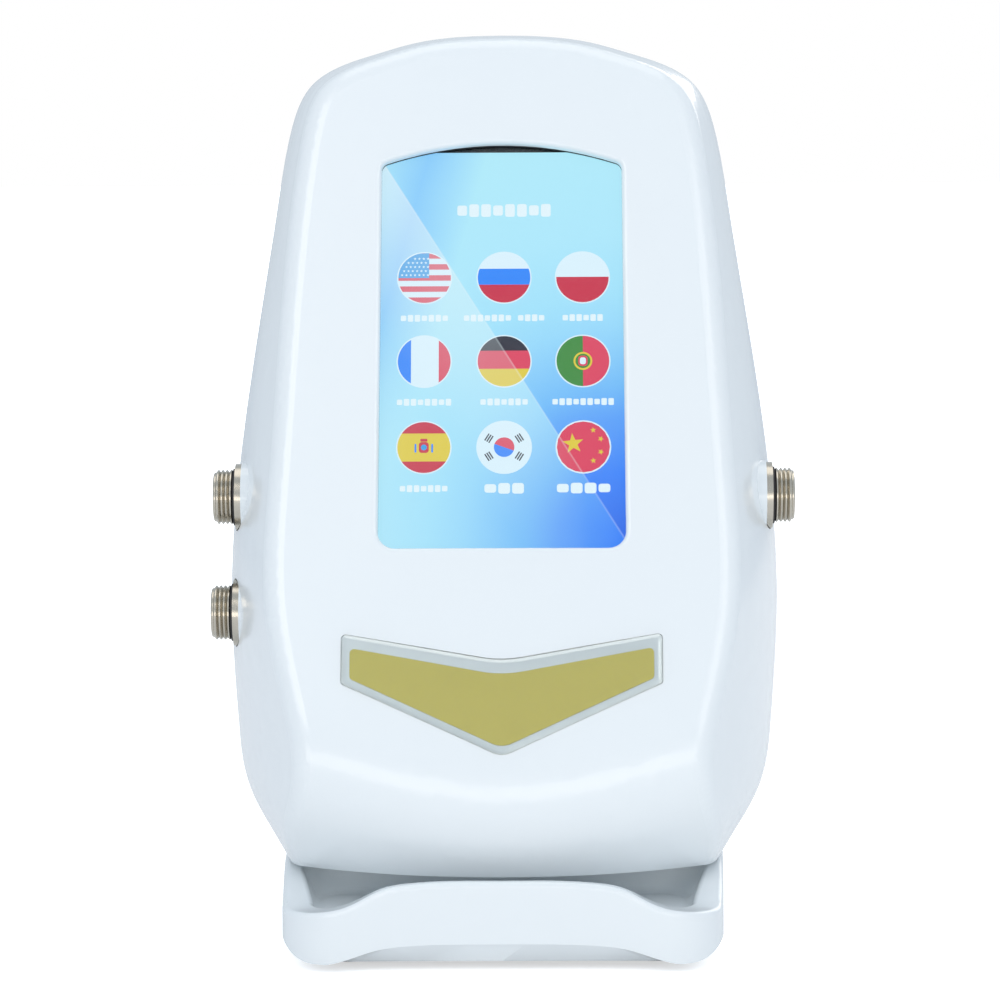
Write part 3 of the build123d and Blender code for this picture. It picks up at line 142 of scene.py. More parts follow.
def wander(group, pattern, given):
    """The given roughness, moved up and down by a pattern within the given spread."""
    drift = math_node(group, "SUBTRACT", pattern, 0.5)
    spread = math_node(group, "MULTIPLY", drift, given["Spread"])
    return math_node(group, "ADD", spread, given["Roughness"])


def make_moulded_grain():
    """The fine skin of a moulded piece: a height for bumps and a roughness that wanders."""
    patches_per_metre = 45.0
    group, given, result = new_group(
        "moulded_grain",
        (("Grains per Metre", "Float", 2500.0), ("Roughness", "Float", 0.3),
         ("Spread", "Float", 0.06)),
        (("Height", "Float"), ("Roughness", "Float")))
    where = object_coordinates(group)
    grain = noise(group, where, given["Grains per Metre"], detail=4.0, rough=0.6)
    patches = noise(group, where, patches_per_metre, detail=4.0, rough=0.6)
    feed(group, grain, result["Height"])
    feed(group, wander(group, patches, given), result["Roughness"])
    return group


def make_tone_drift():
    """A colour that is a little lighter and darker from place to place."""
    specks_per_metre, patch_share, speck_share = 900.0, 0.75, 0.25
    group, given, result = new_group(
        "tone_drift",
        (("Color", "Color", None), ("Second Color", "Color", None),
         ("Patches per Metre", "Float", 30.0), ("Amount", "Float", 0.3)),
        (("Color", "Color"),))
    where = object_coordinates(group)
    patches = noise(group, where, given["Patches per Metre"], detail=5.0, rough=0.6)
    specks = noise(group, where, specks_per_metre, detail=2.0, rough=0.5)
    both = math_node(group, "ADD", math_node(group, "MULTIPLY", patches, patch_share),
                     math_node(group, "MULTIPLY", specks, speck_share))
    amount = math_node(group, "MULTIPLY", both, given["Amount"])
    feed(group, mix_colours(group, amount, given["Color"], given["Second Color"]),
         result["Color"])
    return group


def make_tool_marks():
    """Fine lines left by turning or drawing, along one axis, for metals."""
    group, given, result = new_group(
        "tool_marks",
        (("Stretch", "Vector", None), ("Roughness", "Float", 0.25), ("Spread", "Float", 0.12)),
        (("Height", "Float"), ("Roughness", "Float")))
    scaled = group.nodes.new("ShaderNodeVectorMath")
    scaled.operation = "MULTIPLY"
    feed(group, object_coordinates(group), scaled.inputs[0])
    feed(group, given["Stretch"], scaled.inputs[1])
    lines = noise(group, scaled.outputs["Vector"], 1.0, detail=4.0, rough=0.7)
    feed(group, lines, result["Height"])
    feed(group, wander(group, lines, given), result["Roughness"])
    return group


moulded_grain = make_moulded_grain()
tone_drift = make_tone_drift()
tool_marks = make_tool_marks()


# Finishes

def new_material(name):
    """A material with its tree and its ready-made shader."""
    material = bpy.data.materials.new(name)
    material.use_nodes = True
    tree = material.node_tree
    return material, tree, tree.nodes["Principled BSDF"]


def colour(tree, shader, first, second, amount, patches=30.0):
    """Feeds a tone that drifts between two colours, in so many patches to the metre."""
    node = place_group(tree, tone_drift, Color=(*first, 1), Second_Color=(*second, 1),
                       Patches_per_Metre=patches, Amount=amount)
    feed(tree, node.outputs["Color"], shader.inputs["Base Color"])


def bump(tree, shader, height, depth):
    """Bumps the shader's normal by a height over a depth in metres."""
    node = tree.nodes.new("ShaderNodeBump")
    node.inputs["Distance"].default_value = depth
    feed(tree, height, node.inputs["Height"])
    feed(tree, node.outputs["Normal"], shader.inputs["Normal"])


def skin(tree, shader, group, depth=None, **values):
    """Gives a shader the roughness of a group, and its relief where a depth is named."""
    node = place_group(tree, group, **values)
    feed(tree, node.outputs["Roughness"], shader.inputs["Roughness"])
    if depth:
        bump(tree, shader, node.outputs["Height"], depth)


def plastic(name, first, second, grain=2500.0, rough=0.35, spread=0.08, depth=0.00002,
            coat=0.0, amount=0.3):
    """A moulded plastic: grains to the metre, their depth in metres, tone and clear top skin."""
    material, tree, shader = new_material(name)
    colour(tree, shader, first, second, amount)
    skin(tree, shader, moulded_grain, depth, Grains_per_Metre=grain, Roughness=rough,
         Spread=spread)
    shader.inputs["Coat Weight"].default_value = coat
    shader.inputs["Coat Roughness"].default_value = 0.06
    return material


def metal(name, first, second, stretch=(900.0, 900.0, 900.0), rough=0.28, spread=0.15,
          amount=0.5, metallic=1.0):
    """A bare, plated or printed metal with tool marks."""
    mark_depth = 0.000008
    material, tree, shader = new_material(name)
    shader.inputs["Metallic"].default_value = metallic
    colour(tree, shader, first, second, amount, patches=120.0)
    skin(tree, shader, tool_marks, mark_depth, Stretch=stretch, Roughness=rough, Spread=spread)
    return material


def clear(name, tint, rough, ior, coat=0.0):
    """Glass or a clear cast resin, which lamps shine through without a shadow."""
    material, tree, shader = new_material(name)
    shader.inputs["Base Color"].default_value = (*tint, 1)
    shader.inputs["Transmission Weight"].default_value = 1.0
    shader.inputs["IOR"].default_value = ior
    shader.inputs["Coat Weight"].default_value = coat
    skin(tree, shader, moulded_grain, Grains_per_Metre=300.0, Roughness=rough, Spread=0.02)
    passing = tree.nodes.new("ShaderNodeBsdfTransparent")
    passing.inputs["Color"].default_value = (*tint, 1)
    either = tree.nodes.new("ShaderNodeMixShader")
    feed(tree, ray_kind(tree, "Shadow"), either.inputs["Fac"])
    feed(tree, shader.outputs["BSDF"], either.inputs[1])
    feed(tree, passing.outputs["BSDF"], either.inputs[2])
    feed(tree, either.outputs["Shader"], tree.nodes["Material Output"].inputs["Surface"])
    return material


def make_board_green():
    """Solder mask over copper tracks."""
    mask, pale_mask, joint = (0.012, 0.10, 0.035), (0.015, 0.13, 0.045), (0.03, 0.20, 0.07)
    track_depth = 0.00003
    material, tree, shader = new_material("board_green")
    tracks = tree.nodes.new("ShaderNodeTexBrick")
    for label, value in (("Vector", object_coordinates(tree)), ("Scale", 160.0),
                         ("Mortar Size", 0.04), ("Color1", (*mask, 1)),
                         ("Color2", (*pale_mask, 1)), ("Mortar", (*joint, 1))):
        feed(tree, value, tracks.inputs[label])
    feed(tree, tracks.outputs["Color"], shader.inputs["Base Color"])
    bump(tree, shader, tracks.outputs["Fac"], track_depth)
    skin(tree, shader, moulded_grain, Grains_per_Metre=800.0, Roughness=0.3, Spread=0.1)
    shader.inputs["Coat Weight"].default_value = 0.3
    return material


casing_white = plastic("casing_white", (0.80, 0.85, 0.875), (0.76, 0.815, 0.845), grain=700.0,
                       rough=0.24, spread=0.05, depth=0.000012, coat=0.5, amount=0.25)
plate_white = plastic("plate_white", (0.74, 0.79, 0.84), (0.69, 0.74, 0.79), grain=2200.0,
                      rough=0.5, depth=0.00004)
black_moulding = plastic("black_moulding", (0.022, 0.023, 0.026), (0.035, 0.036, 0.04),
                         grain=2600.0, rough=0.42, depth=0.00005)
rocker_black = plastic("rocker_black", (0.018, 0.018, 0.02), (0.03, 0.03, 0.033), grain=1800.0,
                       rough=0.22, depth=0.00001, coat=0.2)
soft_rubber = plastic("soft_rubber", (0.03, 0.03, 0.032), (0.05, 0.05, 0.052), grain=1500.0,
                      rough=0.75, depth=0.00006)
gasket_foam = plastic("gasket_foam", (0.02, 0.02, 0.022), (0.04, 0.04, 0.042), grain=4000.0,
                      rough=0.9, depth=0.0001)
socket_insulator = plastic("socket_insulator", (0.03, 0.03, 0.033), (0.05, 0.05, 0.055),
                           grain=2600.0, rough=0.5, depth=0.00004)
chip_black = plastic("chip_black", (0.03, 0.03, 0.032), (0.05, 0.05, 0.052), grain=3500.0,
                     rough=0.55, depth=0.00004)
connector_cream = plastic("connector_cream", (0.72, 0.70, 0.62), (0.64, 0.61, 0.52), rough=0.45)
winding_tape = plastic("winding_tape", (0.70, 0.52, 0.10), (0.60, 0.42, 0.06), grain=1200.0,
                       coat=0.3)
ferrite_grey = plastic("ferrite_grey", (0.06, 0.06, 0.065), (0.10, 0.10, 0.105), grain=1800.0,
                       rough=0.6, depth=0.00006)
capacitor_sleeve = plastic("capacitor_sleeve", (0.02, 0.03, 0.08), (0.03, 0.04, 0.10), rough=0.3,
                           coat=0.3)
panel_frame = plastic("panel_frame", (0.012, 0.012, 0.014), (0.02, 0.02, 0.022), rough=0.3,
                      depth=0.00001)

nickel_plate = metal("nickel_plate", (0.60, 0.56, 0.49), (0.46, 0.42, 0.33), rough=0.24,
                     spread=0.2, stretch=(6000.0, 700.0, 700.0))
zinc_steel = metal("zinc_steel", (0.62, 0.63, 0.64), (0.48, 0.48, 0.47), rough=0.35)
turned_brass = metal("turned_brass", (0.70, 0.50, 0.20), (0.56, 0.38, 0.14), rough=0.3)
gold_contact = metal("gold_contact", (0.85, 0.62, 0.24), (0.74, 0.50, 0.18), rough=0.22)
heat_sink_metal = metal("heat_sink_metal", (0.68, 0.69, 0.71), (0.56, 0.57, 0.59), rough=0.42,
                        stretch=(400.0, 400.0, 9000.0))
silver_foil = metal("silver_foil", (0.57, 0.63, 0.65), (0.50, 0.55, 0.58), rough=0.35,
                    spread=0.1, stretch=(300.0, 5000.0, 5000.0), metallic=0.45)
gold_foil = metal("gold_foil", (0.461, 0.409, 0.070), (0.413, 0.366, 0.062), rough=0.5,
                  spread=0.1, stretch=(260.0, 4200.0, 4200.0), amount=0.35, metallic=0.12)

clear_resin = clear("clear_resin", (0.96, 0.98, 0.99), rough=0.03, ior=1.36, coat=0.5)
screen_glass = clear("screen_glass", (0.93, 0.97, 1.0), rough=0.015, ior=1.5)
fuse_glass = clear("fuse_glass", (0.94, 0.96, 0.96), rough=0.03, ior=1.5)

board_green = make_board_green()


# The light of the screen

def tone(red, green, blue):
    """A display colour from 0 to 255 as the linear values that shaders take."""
    toe, power = 0.055, 2.4
    return tuple(((part / 255 + toe) / (1 + toe)) ** power for part in (red, green, blue))


def screen_place(tree):
    """How far to the right and how far down the screen a point lies, from 0 to 1."""
    parts = tree.nodes.new("ShaderNodeSeparateXYZ")
    feed(tree, object_coordinates(tree), parts.inputs["Vector"])
    half = screen_width / 2 * MM
    right = map_range(tree, parts.outputs["X"], (-half, half), (0, 1))
    bottom, top = (face_origin.z + reach * math.cos(face_lean) * MM
                   for reach in (screen_middle - screen_height / 2,
                                 screen_middle + screen_height / 2))
    down = map_range(tree, parts.outputs["Z"], (bottom, top), (1, 0))
    return right, down


def below_sheen_edge(tree, right, down):
    """How far a point lies below the slanting edge of the sheen."""
    slope, start = 0.962, 0.033
    edge = math_node(tree, "ADD", math_node(tree, "MULTIPLY", right, slope), start)
    return math_node(tree, "SUBTRACT", down, edge)


# From where to where the sheen's edge fades in, in heights of the screen about the edge
sheen_edge_blur = (-0.003, 0.003)


def make_screen_sheen():
    """A painted sheen: a lamp's light on the lower left of the glass, painted into the glow up to
    a slanting edge, with a bright line painted along that edge.
    """
    sheen_tone = (*tone(238, 252, 255), 1)
    reach, far_share = 0.42, 0.15
    width, left_strength = 0.85, 0.58
    line_width, line_strength = 0.006, 0.24
    group, given, result = new_group(
        "screen_sheen", (("Color", "Color", None), ("Share", "Float", 1.0)),
        (("Color", "Color"),))
    right, down = screen_place(group)
    below = below_sheen_edge(group, right, down)
    lit_side = map_range(group, below, sheen_edge_blur, (0, 1))
    near = map_range(group, below, (0, reach), (1, far_share))
    strength = map_range(group, right, (0, width), (left_strength, 0))
    strength = math_node(group, "MULTIPLY", strength, given["Share"])
    sheen = math_node(group, "MULTIPLY", math_node(group, "MULTIPLY", lit_side, near), strength)
    line = map_range(group, math_node(group, "ABSOLUTE", below), (0, line_width),
                     (line_strength, 0))
    share = math_node(group, "ADD", sheen, line)
    feed(group, mix_colours(group, share, given["Color"], sheen_tone), result["Color"])
    return group


screen_sheen = make_screen_sheen()


def shine(tree, shader, hue, share, strength, unlit):
    """Lets a piece of the screen shine in a hue, under its share of the painted sheen."""
    sheen = place_group(tree, screen_sheen, Color=hue, Share=share)
    feed(tree, sheen.outputs["Color"], shader.inputs["Emission Color"])
    shader.inputs["Emission Strength"].default_value = strength
    shader.inputs["Base Color"].default_value = (*unlit, 1)
    shader.inputs["Roughness"].default_value = 0.6


# How far from the lower right corner, in heights of the screen, each tone of the picture lies
picture_stops = (
    (0.0, tone(20, 98, 232)), (0.17, tone(44, 131, 253)), (0.31, tone(86, 163, 253)),
    (0.39, tone(114, 192, 253)), (0.54, tone(154, 222, 255)), (0.62, tone(165, 231, 255)),
    (0.77, tone(177, 237, 255)), (1.0, tone(181, 240, 254)),
)


def make_screen_picture():
    """The lit screen: pale cyan that deepens to blue low on the right, with one bluer band, and
    painted paler under the painted sheen.
    """
    # How much paler the picture's tones are painted on the sheen's side of its edge, as painted
    # sheen
    sheen_lift = 0.15
    band_tone = (*tone(112, 190, 255), 1)
    band_lean, band_place, band_width, band_strength = 0.45, 0.21, 0.24, 0.66
    band_end, clouds_per_metre = (0.42, 0.8), 26.0
    material, tree, shader = new_material("screen_picture")
    right, down = screen_place(tree)
    across = math_node(tree, "MULTIPLY", math_node(tree, "SUBTRACT", 1.0, right),
                       screen_width / screen_height)
    up = math_node(tree, "SUBTRACT", 1.0, down)
    squares = math_node(tree, "ADD", math_node(tree, "MULTIPLY", across, across),
                        math_node(tree, "MULTIPLY", up, up))
    below = below_sheen_edge(tree, right, down)
    lit_side = map_range(tree, below, sheen_edge_blur, (0, sheen_lift))
    ramp = tree.nodes.new("ShaderNodeValToRGB")
    feed(tree, math_node(tree, "ADD", math_node(tree, "SQRT", squares), lit_side),
         ramp.inputs["Fac"])
    elements = ramp.color_ramp.elements
    while len(elements) < len(picture_stops):
        elements.new(0.5)
    for element, (place, hue) in zip(elements, picture_stops):
        element.position = place
        element.color = (*hue, 1)
    leaning = math_node(tree, "ADD", right, math_node(tree, "MULTIPLY", down, band_lean))
    off_band = math_node(tree, "ABSOLUTE", math_node(tree, "SUBTRACT", leaning, band_place))
    band = map_range(tree, off_band, (0, band_width), (band_strength, 0))
    fade = map_range(tree, down, band_end, (1, 0))
    clouds = noise(tree, object_coordinates(tree), clouds_per_metre, detail=2.0, rough=0.5)
    depth = math_node(tree, "MULTIPLY", math_node(tree, "MULTIPLY", band, fade),
                      math_node(tree, "ADD", clouds, 0.5))
    picture = mix_colours(tree, depth, ramp.outputs["Color"], band_tone)
    shine(tree, shader, picture, share=1.0, strength=0.92, unlit=(0.01, 0.02, 0.03))
    return material


def lit(name, hue):
    """A flat patch of the screen in one hue, with the faint grid of its dots."""
    dots_per_metre, dim_share = 7000.0, 0.93
    material, tree, shader = new_material(name)
    dots = tree.nodes.new("ShaderNodeTexChecker")
    dots.inputs["Scale"].default_value = dots_per_metre
    dots.inputs["Color1"].default_value = (*hue, 1)
    dots.inputs["Color2"].default_value = (*(dim_share * part for part in hue), 1)
    feed(tree, object_coordinates(tree), dots.inputs["Vector"])
    shine(tree, shader, dots.outputs["Color"], share=0.5, strength=1.0, unlit=(0.01, 0.01, 0.01))
    return material


screen_picture = make_screen_picture()

# The tones of the keys, each with a finish of its own, and the places of these among a
# piece's finishes
key_tones = {
    "red": (222, 52, 88), "deep_red": (202, 6, 58), "white": (222, 244, 254),
    "blue": (0, 132, 250), "black": (0, 0, 38), "yellow": (226, 204, 48),
    "green": (48, 136, 44), "sky": (0, 158, 230), "bar": (230, 247, 253),
}
key_colours = [lit("lit_" + name, tone(*values)) for name, values in key_tones.items()]
RED, DEEP_RED, WHITE, BLUE, BLACK, YELLOW, GREEN, SKY, BAR = range(len(key_tones))


# Each piece of the machine and its finish

def of_sockets(part):
    """The names of one part in all three sockets."""
    return " ".join(f"{place}_socket_{part}" for place in ("left_upper", "left_lower", "right"))


finishes = {
    casing_white: "front_casing rear_casing base_shell",
    plate_white: "bottom_plate",
    black_moulding: "inlet_housing fuse_drawer fan_frame fan_rotor",
    rocker_black: "power_rocker",
    soft_rubber: "rubber_feet " + of_sockets("seal"),
    gasket_foam: "screen_gasket",
    nickel_plate: of_sockets("shell") + " " + of_sockets("nut"),
    socket_insulator: of_sockets("insulator"),
    gold_contact: of_sockets("contacts"),
    screen_glass: "touch_glass",
    panel_frame: "display_panel",
    board_green: "display_board power_board driver_board",
    chip_black: "display_chips driver_relays buzzer",
    connector_cream: "ribbon_socket board_terminals",
    zinc_steel: "display_screws casing_screws deck_screws bottom_plate_screws fan_screws "
                "fan_nuts inlet_screws driver_board_nuts",
    turned_brass: "short_standoffs long_standoffs inlet_blades",
    silver_foil: "badge_foil",
    gold_foil: "badge_plate",
    clear_resin: "badge_dome",
    ferrite_grey: "power_transformer_core output_transformer_core",
    winding_tape: "power_transformer_winding output_transformer_winding",
    heat_sink_metal: "power_heat_sink driver_heat_sink",
    capacitor_sleeve: "power_capacitors",
    fuse_glass: "fuse",
}
for material, names in finishes.items():
    for name in names.split():
        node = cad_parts[name]
        node.data.materials.clear()
        node.data.materials.append(material)


# The picture on the screen: a lit film with nine round keys and plain blocks under them

def add_object(name, data):
    """Puts a mesh, a lamp or a camera into the scene."""
    thing = bpy.data.objects.new(name, data)
    bpy.context.scene.collection.objects.link(thing)
    return thing


def new_piece(name, mesh_maker, materials, body="machine"):
    """Builds a mesh, gives it its materials and lets it ride on a body."""
    mesh = bpy.data.meshes.new(name)
    built = bmesh.new()
    mesh_maker(built)
    bmesh.ops.recalc_face_normals(built, faces=built.faces)
    built.to_mesh(mesh)
    built.free()
    for material in materials:
        mesh.materials.append(material)
    piece = add_object(name, mesh)
    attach(piece, body)


def rounded_outline(width, length, radius, steps=6):
    """Points of a rounded rectangle about its middle."""
    points = []
    for corner in range(4):
        start = corner * math.pi / 2
        x = (width / 2 - radius) * (1 if corner in (0, 3) else -1)
        y = (length / 2 - radius) * (1 if corner in (0, 1) else -1)
        for step in range(steps + 1):
            angle = start + step * math.pi / 2 / steps
            points.append((x + radius * math.cos(angle), y + radius * math.sin(angle)))
    return points


def strip_outline(radius, low, high, upright=False):
    """The slice of a disc between two lines, level or upright."""
    steps, tiny = 10, 1e-6
    start, end = math.asin(max(-1, low / radius)), math.asin(min(1, high / radius))
    angles = [start + (end - start) * step / steps for step in range(steps + 1)]
    right = [(radius * math.cos(angle), radius * math.sin(angle)) for angle in angles]
    left = [(-x, y) for x, y in reversed(right)]
    outline = []
    for point in right + left:
        if not outline or math.dist(point, outline[-1]) > tiny:
            outline.append(point)
    if math.dist(outline[0], outline[-1]) < tiny:
        outline.pop()
    return [(-y, x) for x, y in outline] if upright else outline


def disc_outline(radius, steps=40):
    """Points of a circle about its middle."""
    angles = [2 * math.pi * step / steps for step in range(steps)]
    return [(radius * math.cos(angle), radius * math.sin(angle)) for angle in angles]


def star_outline(radius, turn=0.0):
    """Points of a star with five tips, turned by an angle."""
    notch_share = 0.4
    points = []
    for tip in range(10):
        reach = radius if tip % 2 == 0 else radius * notch_share
        angle = math.pi / 2 + turn + tip * math.pi / 5
        points.append((reach * math.cos(angle), reach * math.sin(angle)))
    return points


def turned(outline, angle):
    """An outline turned about its middle."""
    cosine, sine = math.cos(angle), math.sin(angle)
    return [(x * cosine - y * sine, x * sine + y * cosine) for x, y in outline]


def add_patch(built, outline, middle, depth, hue, thickness=0.04):
    """A thin closed patch on the face with that outline, front and back, in one of the tones."""
    front, back = ([built.verts.new(on_face(middle[0] + x, middle[1] + y, level))
                    for x, y in outline] for level in (depth, depth + thickness))
    faces = [built.faces.new(front), built.faces.new(list(reversed(back)))]
    for a in range(len(outline)):
        b = (a + 1) % len(outline)
        faces.append(built.faces.new((front[a], back[a], back[b], front[b])))
    for face in faces:
        face.material_index = hue


# Depths below the face's skin and thicknesses, in millimetres
picture_depth = 4.53
film_thickness = 0.06
strip_thickness = 0.03
layer_step = 0.04

# The film reaches a little further out to both sides than the picture's tones
film_width, film_corner = 66.4, 0.4


def screen_film(built):
    """The film that shines behind the glass."""
    outline = rounded_outline(film_width, screen_height, film_corner)
    add_patch(built, outline, (0, screen_middle), picture_depth, hue=0,
              thickness=film_thickness)


new_piece("screen_film", screen_film, [screen_picture])

# The keys' places on the face, counted across and down from the upper left one
key_radius = 7.0
ring_width = 0.35
key_columns = (-20.6, 0.6, 21.5)
key_rows = (144.0, 120.6, 96.8)

# Each key's strips: whether they are upright, then from where to where in key radii, and the
# tone. Level strips count from the bottom up, and upright ones from right to left
striped_keys = {
    (0, 0): (False, tuple((-1 + band * 2 / 9, -1 + (band + 1) * 2 / 9, WHITE if band % 2 else RED)
                          for band in range(9))),
    (1, 0): (False, ((-1, -0.28, DEEP_RED), (-0.28, 0.36, BLUE), (0.36, 1, WHITE))),
    (2, 0): (False, ((-1, 0.02, DEEP_RED), (0.02, 1, WHITE))),
    (0, 1): (True, ((-1, -0.55, RED), (-0.55, 0.5, WHITE), (0.5, 1, BLUE))),
    (1, 1): (False, ((-1, -0.3, YELLOW), (-0.3, 0.42, RED), (0.42, 1, BLACK))),
    (2, 1): (True, ((-1, 0.0, RED), (0.0, 1, GREEN))),
    (0, 2): (False, ((-1, -0.55, DEEP_RED), (-0.55, 0.55, YELLOW), (0.55, 1, DEEP_RED))),
    (1, 2): (False, ((-1, 1, WHITE),)),
    (2, 2): (False, ((-1, 1, RED),)),
}

# The labels under the keys: how many blocks each of their groups has, and a block's width,
# height and gap
label_drop = 11.3
label_groups = {
    (0, 0): (7,), (1, 0): (7, 4), (2, 0): (6,), (0, 1): (8,), (1, 1): (7,), (2, 1): (9,),
    (0, 2): (7,), (1, 2): (3,), (2, 2): (4,),
}
wide_labels = ((1, 2), (2, 2))
slim_block, wide_block = (1.45, 1.9, 0.4), (3.1, 2.9, 0.55)
title_middle, title_groups, title_block = (0.6, 163.0), (8,), (2.6, 3.6, 0.6)


def blocks_row(built, middle, groups, block, level):
    """A label as groups of plain blocks in a row, with a block's width between two groups."""
    low_every, low_share, corner_part = 3, 0.8, 5
    width, height, gap = block
    total = sum(groups) * (width + gap) - gap + (len(groups) - 1) * width
    x = middle[0] - total / 2 + width / 2
    for count in groups:
        for place in range(count):
            tall = height * (1 if place % low_every else low_share)
            outline = rounded_outline(width, tall, width / corner_part, 2)
            add_patch(built, outline, (x, middle[1]), level, BAR)
            x += width + gap
        x += width


def add_layers(built, middle, level, rows):
    """Patches over one another: outline, place across and up, layer and tone of each."""
    for outline, across, up, layer, hue in rows:
        place = (middle[0] + across, middle[1] + up)
        add_patch(built, outline, place, level - layer * layer_step, hue)


def dotted_corner(built, middle, level):
    """An upper left quarter in sky blue, with rows of pale dots."""
    overhang, near_middle = 1.2, 0.01
    dot_radius, dot_pitch, odd_shift = 0.42, 1.15, 0.55
    dot_rows, dot_columns = 5, 7
    first_x, first_y, last_x = -6.0, 0.8, 0.9
    rim = 0.7
    quarter = [(-x, y) for x, y in strip_outline(key_radius, 0, key_radius) if x >= -near_middle]
    outline = [(x + overhang, y) if x > -near_middle else (x, y)
               for x, y in [(0, 0)] + quarter[::-1]]
    add_patch(built, outline, middle, level, SKY)
    for row in range(dot_rows):
        for column in range(dot_columns):
            x = first_x + column * dot_pitch + (odd_shift if row % 2 else 0)
            y = first_y + row * dot_pitch
            if math.hypot(x, y) < key_radius - rim and x < last_x:
                add_layers(built, middle, level, [(star_outline(dot_radius), x, y, 1, WHITE)])


def ringed_crest(built, middle, level):
    """A shield in a ring."""
    add_layers(built, middle, level, (
        (disc_outline(2.5, 24), 0, 0, 0, YELLOW),
        (disc_outline(2.0, 24), 0, 0, 1, GREEN),
        (rounded_outline(2.5, 2.9, 0.9), 0, 0, 2, RED),
        (rounded_outline(1.6, 1.9, 0.6), 0, 0, 3, WHITE),
    ))


def pillared_crest(built, middle, level):
    """A shield with a top bar, between two pillars."""
    add_layers(built, middle, level, (
        (rounded_outline(2.6, 3.0, 0.8), 0, 0, 0, DEEP_RED),
        (rounded_outline(1.9, 0.8, 0.3), 0, 2.0, 0, DEEP_RED),
        (disc_outline(0.8, 16), 0, 0, 1, SKY),
        (rounded_outline(0.5, 2.4, 0.2), -2.2, -0.2, 0, BLUE),
        (rounded_outline(0.5, 2.4, 0.2), 2.2, -0.2, 0, BLUE),
    ))


def round_seal(built, middle, level):
    """A small two-tone disc with three short bars at each of four corners."""
    radius, tilt = 2.7, -0.35
    bar_width, bar_length, bar_corner = 0.36, 2.2, 0.05
    corner_slope, first_reach, bar_pitch = 0.62, 4.1, 0.62
    bar = rounded_outline(bar_width, bar_length, bar_corner, 1)
    add_patch(built, turned(strip_outline(radius, 0, radius), tilt), middle, level, RED)
    add_patch(built, turned(strip_outline(radius, -radius, 0), tilt), middle, level, BLUE)
    for side_x, side_y in ((-1, 1), (1, 1), (1, -1), (-1, -1)):
        angle = math.atan2(side_y * corner_slope, side_x)
        for count in range(3):
            reach = first_reach + count * bar_pitch
            place = (middle[0] + reach * math.cos(angle), middle[1] + reach * math.sin(angle))
            add_patch(built, turned(bar, angle), place, level, BLACK)


def key_stars(built, middle, level):
    """One large star and four small ones to its right."""
    large_radius, large_turn, large_place = 2.9, 0.1, (-2.7, 0.9)
    small_radius = 0.85
    small_places = ((2.6, 4.6), (4.6, 2.2), (4.6, -1.4), (2.6, -3.8))
    large = (star_outline(large_radius, large_turn), *large_place, 0, YELLOW)
    small = [(star_outline(small_radius, x), x, y, 0, YELLOW) for x, y in small_places]
    add_layers(built, middle, level, [large, *small])


key_details = {
    (0, 0): dotted_corner, (2, 1): ringed_crest, (0, 2): pillared_crest, (1, 2): round_seal,
    (2, 2): key_stars,
}


def round_keys(built):
    """The nine keys with their labels, and the title above them."""
    level = picture_depth - 2 * layer_step
    for place, (upright, strips) in striped_keys.items():
        column, row = place
        middle = (key_columns[column], key_rows[row])
        add_patch(built, disc_outline(key_radius + ring_width), middle,
                  picture_depth - layer_step, WHITE, strip_thickness)
        for low, high, hue in strips:
            outline = strip_outline(key_radius, low * key_radius, high * key_radius, upright)
            add_patch(built, outline, middle, level, hue, strip_thickness)
        if place in key_details:
            key_details[place](built, middle, level - layer_step)
        label_middle = (middle[0], middle[1] - label_drop)
        block = wide_block if place in wide_labels else slim_block
        blocks_row(built, label_middle, label_groups[place], block, level)
    blocks_row(built, title_middle, title_groups, title_block, level)


new_piece("screen_keys", round_keys, key_colours)


# Smooth shading for the curved mouldings, which keep their edges from this angle on
sharp_angle = math.radians(32)
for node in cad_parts.values():
    for polygon in node.data.polygons:
        polygon.use_smooth = True
    node.data.set_sharp_from_angle(angle=sharp_angle)
    even = node.modifiers.new("even_normals", "WEIGHTED_NORMAL")
    even.keep_sharp = True
    even.weight = 80

# The clear dome lies face to face on its foil: a hair's breadth inward keeps the two surfaces
# apart for light
hair = 0.03 * MM
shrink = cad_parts["badge_dome"].modifiers.new("hair_gap", "DISPLACE")
shrink.mid_level = 0.0
shrink.strength = -hair

# Flat shading for the level faces of the badge
same_direction = 0.9995
for name in ("badge_dome", "badge_foil", "badge_plate"):
    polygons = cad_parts[name].data.polygons
    level = max(polygons, key=lambda polygon: polygon.area).normal.copy()
    for polygon in polygons:
        if abs(polygon.normal.dot(level)) > same_direction:
            polygon.use_smooth = False


# Floor, backdrop, lamps, camera

def make_floor_material():
    """A plain pale floor: it takes the shadow, and looks white where nothing shades it."""
    speckles_per_metre, roughness_range = 60.0, (0.62, 0.68)
    lift_from, lift_range = (0.2, 1.0), (0.55, 1.0)
    material, tree, shader = new_material("pale_floor")
    where = object_coordinates(tree)
    speckle = noise(tree, where, speckles_per_metre, detail=2.0, rough=0.5)
    feed(tree, map_range(tree, speckle, (0, 1), roughness_range), shader.inputs["Roughness"])
    shader.inputs["Base Color"].default_value = (0.90, 0.90, 0.90, 1)
    shader.inputs["Emission Color"].default_value = (1, 1, 1, 1)
    distance = tree.nodes.new("ShaderNodeVectorMath")
    distance.operation = "LENGTH"
    feed(tree, where, distance.inputs[0])
    lift = map_range(tree, distance.outputs["Value"], lift_from, lift_range)
    glow = math_node(tree, "MULTIPLY", seen_by_camera(tree), lift)
    feed(tree, glow, shader.inputs["Emission Strength"])
    return material


floor_half = 6.0
floor_mesh = bpy.data.meshes.new("studio_floor")
floor_shape = bmesh.new()
bmesh.ops.create_grid(floor_shape, x_segments=8, y_segments=8, size=floor_half)
floor_shape.to_mesh(floor_mesh)
floor_shape.free()
floor_mesh.materials.append(make_floor_material())
studio_floor = add_object("studio_floor", floor_mesh)

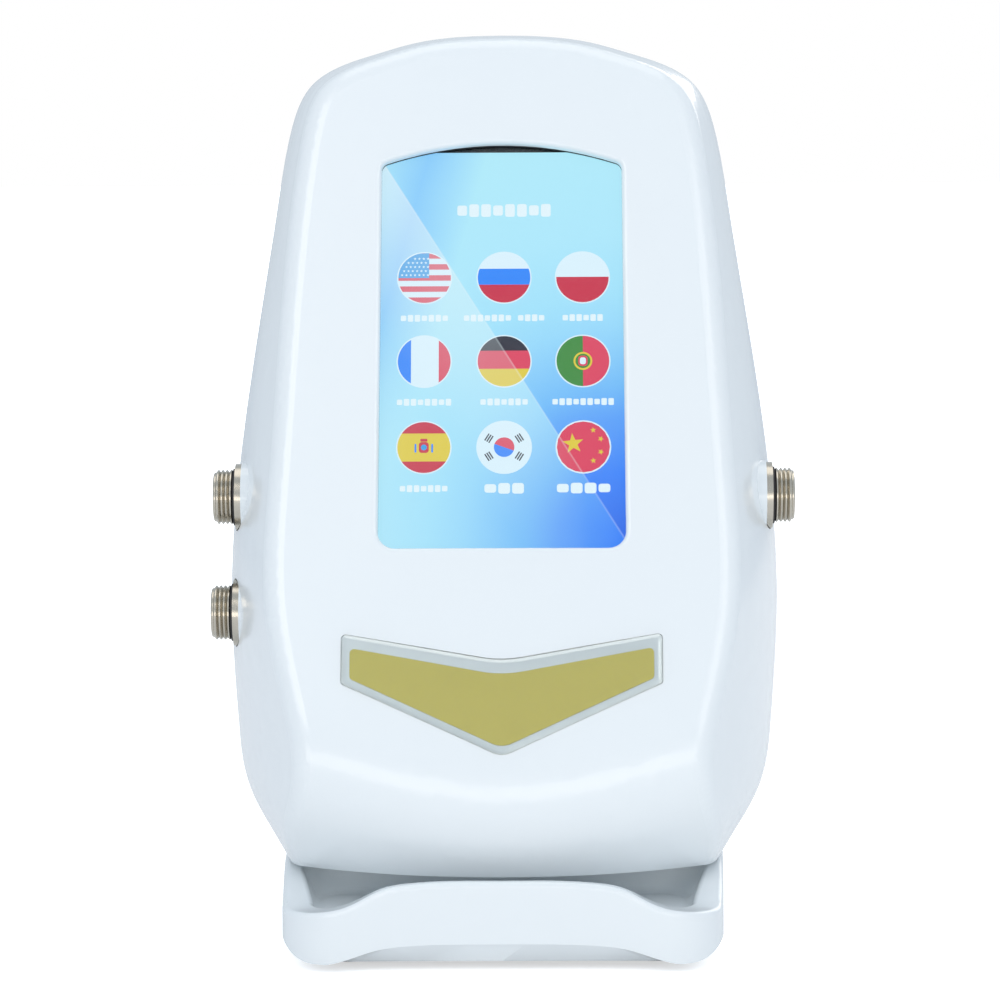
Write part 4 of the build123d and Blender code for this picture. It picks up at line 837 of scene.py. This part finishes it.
# The backdrop: white to the camera, and cool in what it sheds and in what mirrors it
ambient_tone, mirrored_tone = (0.58, 0.65, 0.74, 1), (0.58, 0.64, 0.70, 1)
world = bpy.data.worlds.new("studio_world")
bpy.context.scene.world = world
world.use_nodes = True
backdrop = world.node_tree
light = mix_colours(backdrop, seen_by_camera(backdrop), ambient_tone, (1, 1, 1, 1))
light = mix_colours(backdrop, ray_kind(backdrop, "Glossy"), light, mirrored_tone)
feed(backdrop, light, backdrop.nodes["Background"].inputs["Color"])

# Each soft lamp: name, place, the point that it looks at, size, and power in watts
lamp_hue = (1, 0.93, 0.85)
lamps = (
    ("key_lamp", (-0.75, -1.25, 1.15), (0, 0, 0.12), (0.9, 0.9), 5.1),
    ("fill_lamp", (0.95, -1.15, 0.85), (0, 0, 0.12), (0.8, 1.0), 3.4),
    ("top_lamp", (0.0, 0.25, 1.5), (0, 0, 0.1), (1.2, 1.0), 3.9),
    ("low_lamp", (0.0, -1.3, 0.13), (0, -0.05, 0.04), (1.5, 0.25), 2.3),
    ("back_lamp", (0.7, 1.2, 0.9), (0, 0, 0.12), (0.8, 0.8), 3.6),
)
for name, place, target, size, power in lamps:
    lamp = bpy.data.lights.new(name, "AREA")
    lamp.shape = "RECTANGLE"
    lamp.size, lamp.size_y = size
    lamp.energy = power
    lamp.color = lamp_hue
    holder = add_object(name, lamp)
    holder.location = place
    look = Vector(target) - Vector(place)
    holder.rotation_euler = look.to_track_quat("-Z", "Y").to_euler()

camera_place = Vector((0.0146, -1.1873, 0.2387))
camera_aim = Vector((0, 0.006, 0.1133))
camera_roll = math.radians(-0.3)
camera_data = bpy.data.cameras.new("studio_camera")
camera_data.sensor_width = 36.0
camera_data.lens = 158.1
camera_data.shift_x = -0.004
camera_data.clip_start = 0.05
camera = add_object("studio_camera", camera_data)
camera.location = camera_place
sight = (camera_aim - camera_place).to_track_quat("-Z", "Y")
camera.rotation_euler = (sight @ Quaternion((0, 0, 1), camera_roll)).to_euler()
bpy.context.scene.camera = camera
bpy.context.scene.view_settings.view_transform = "Standard"
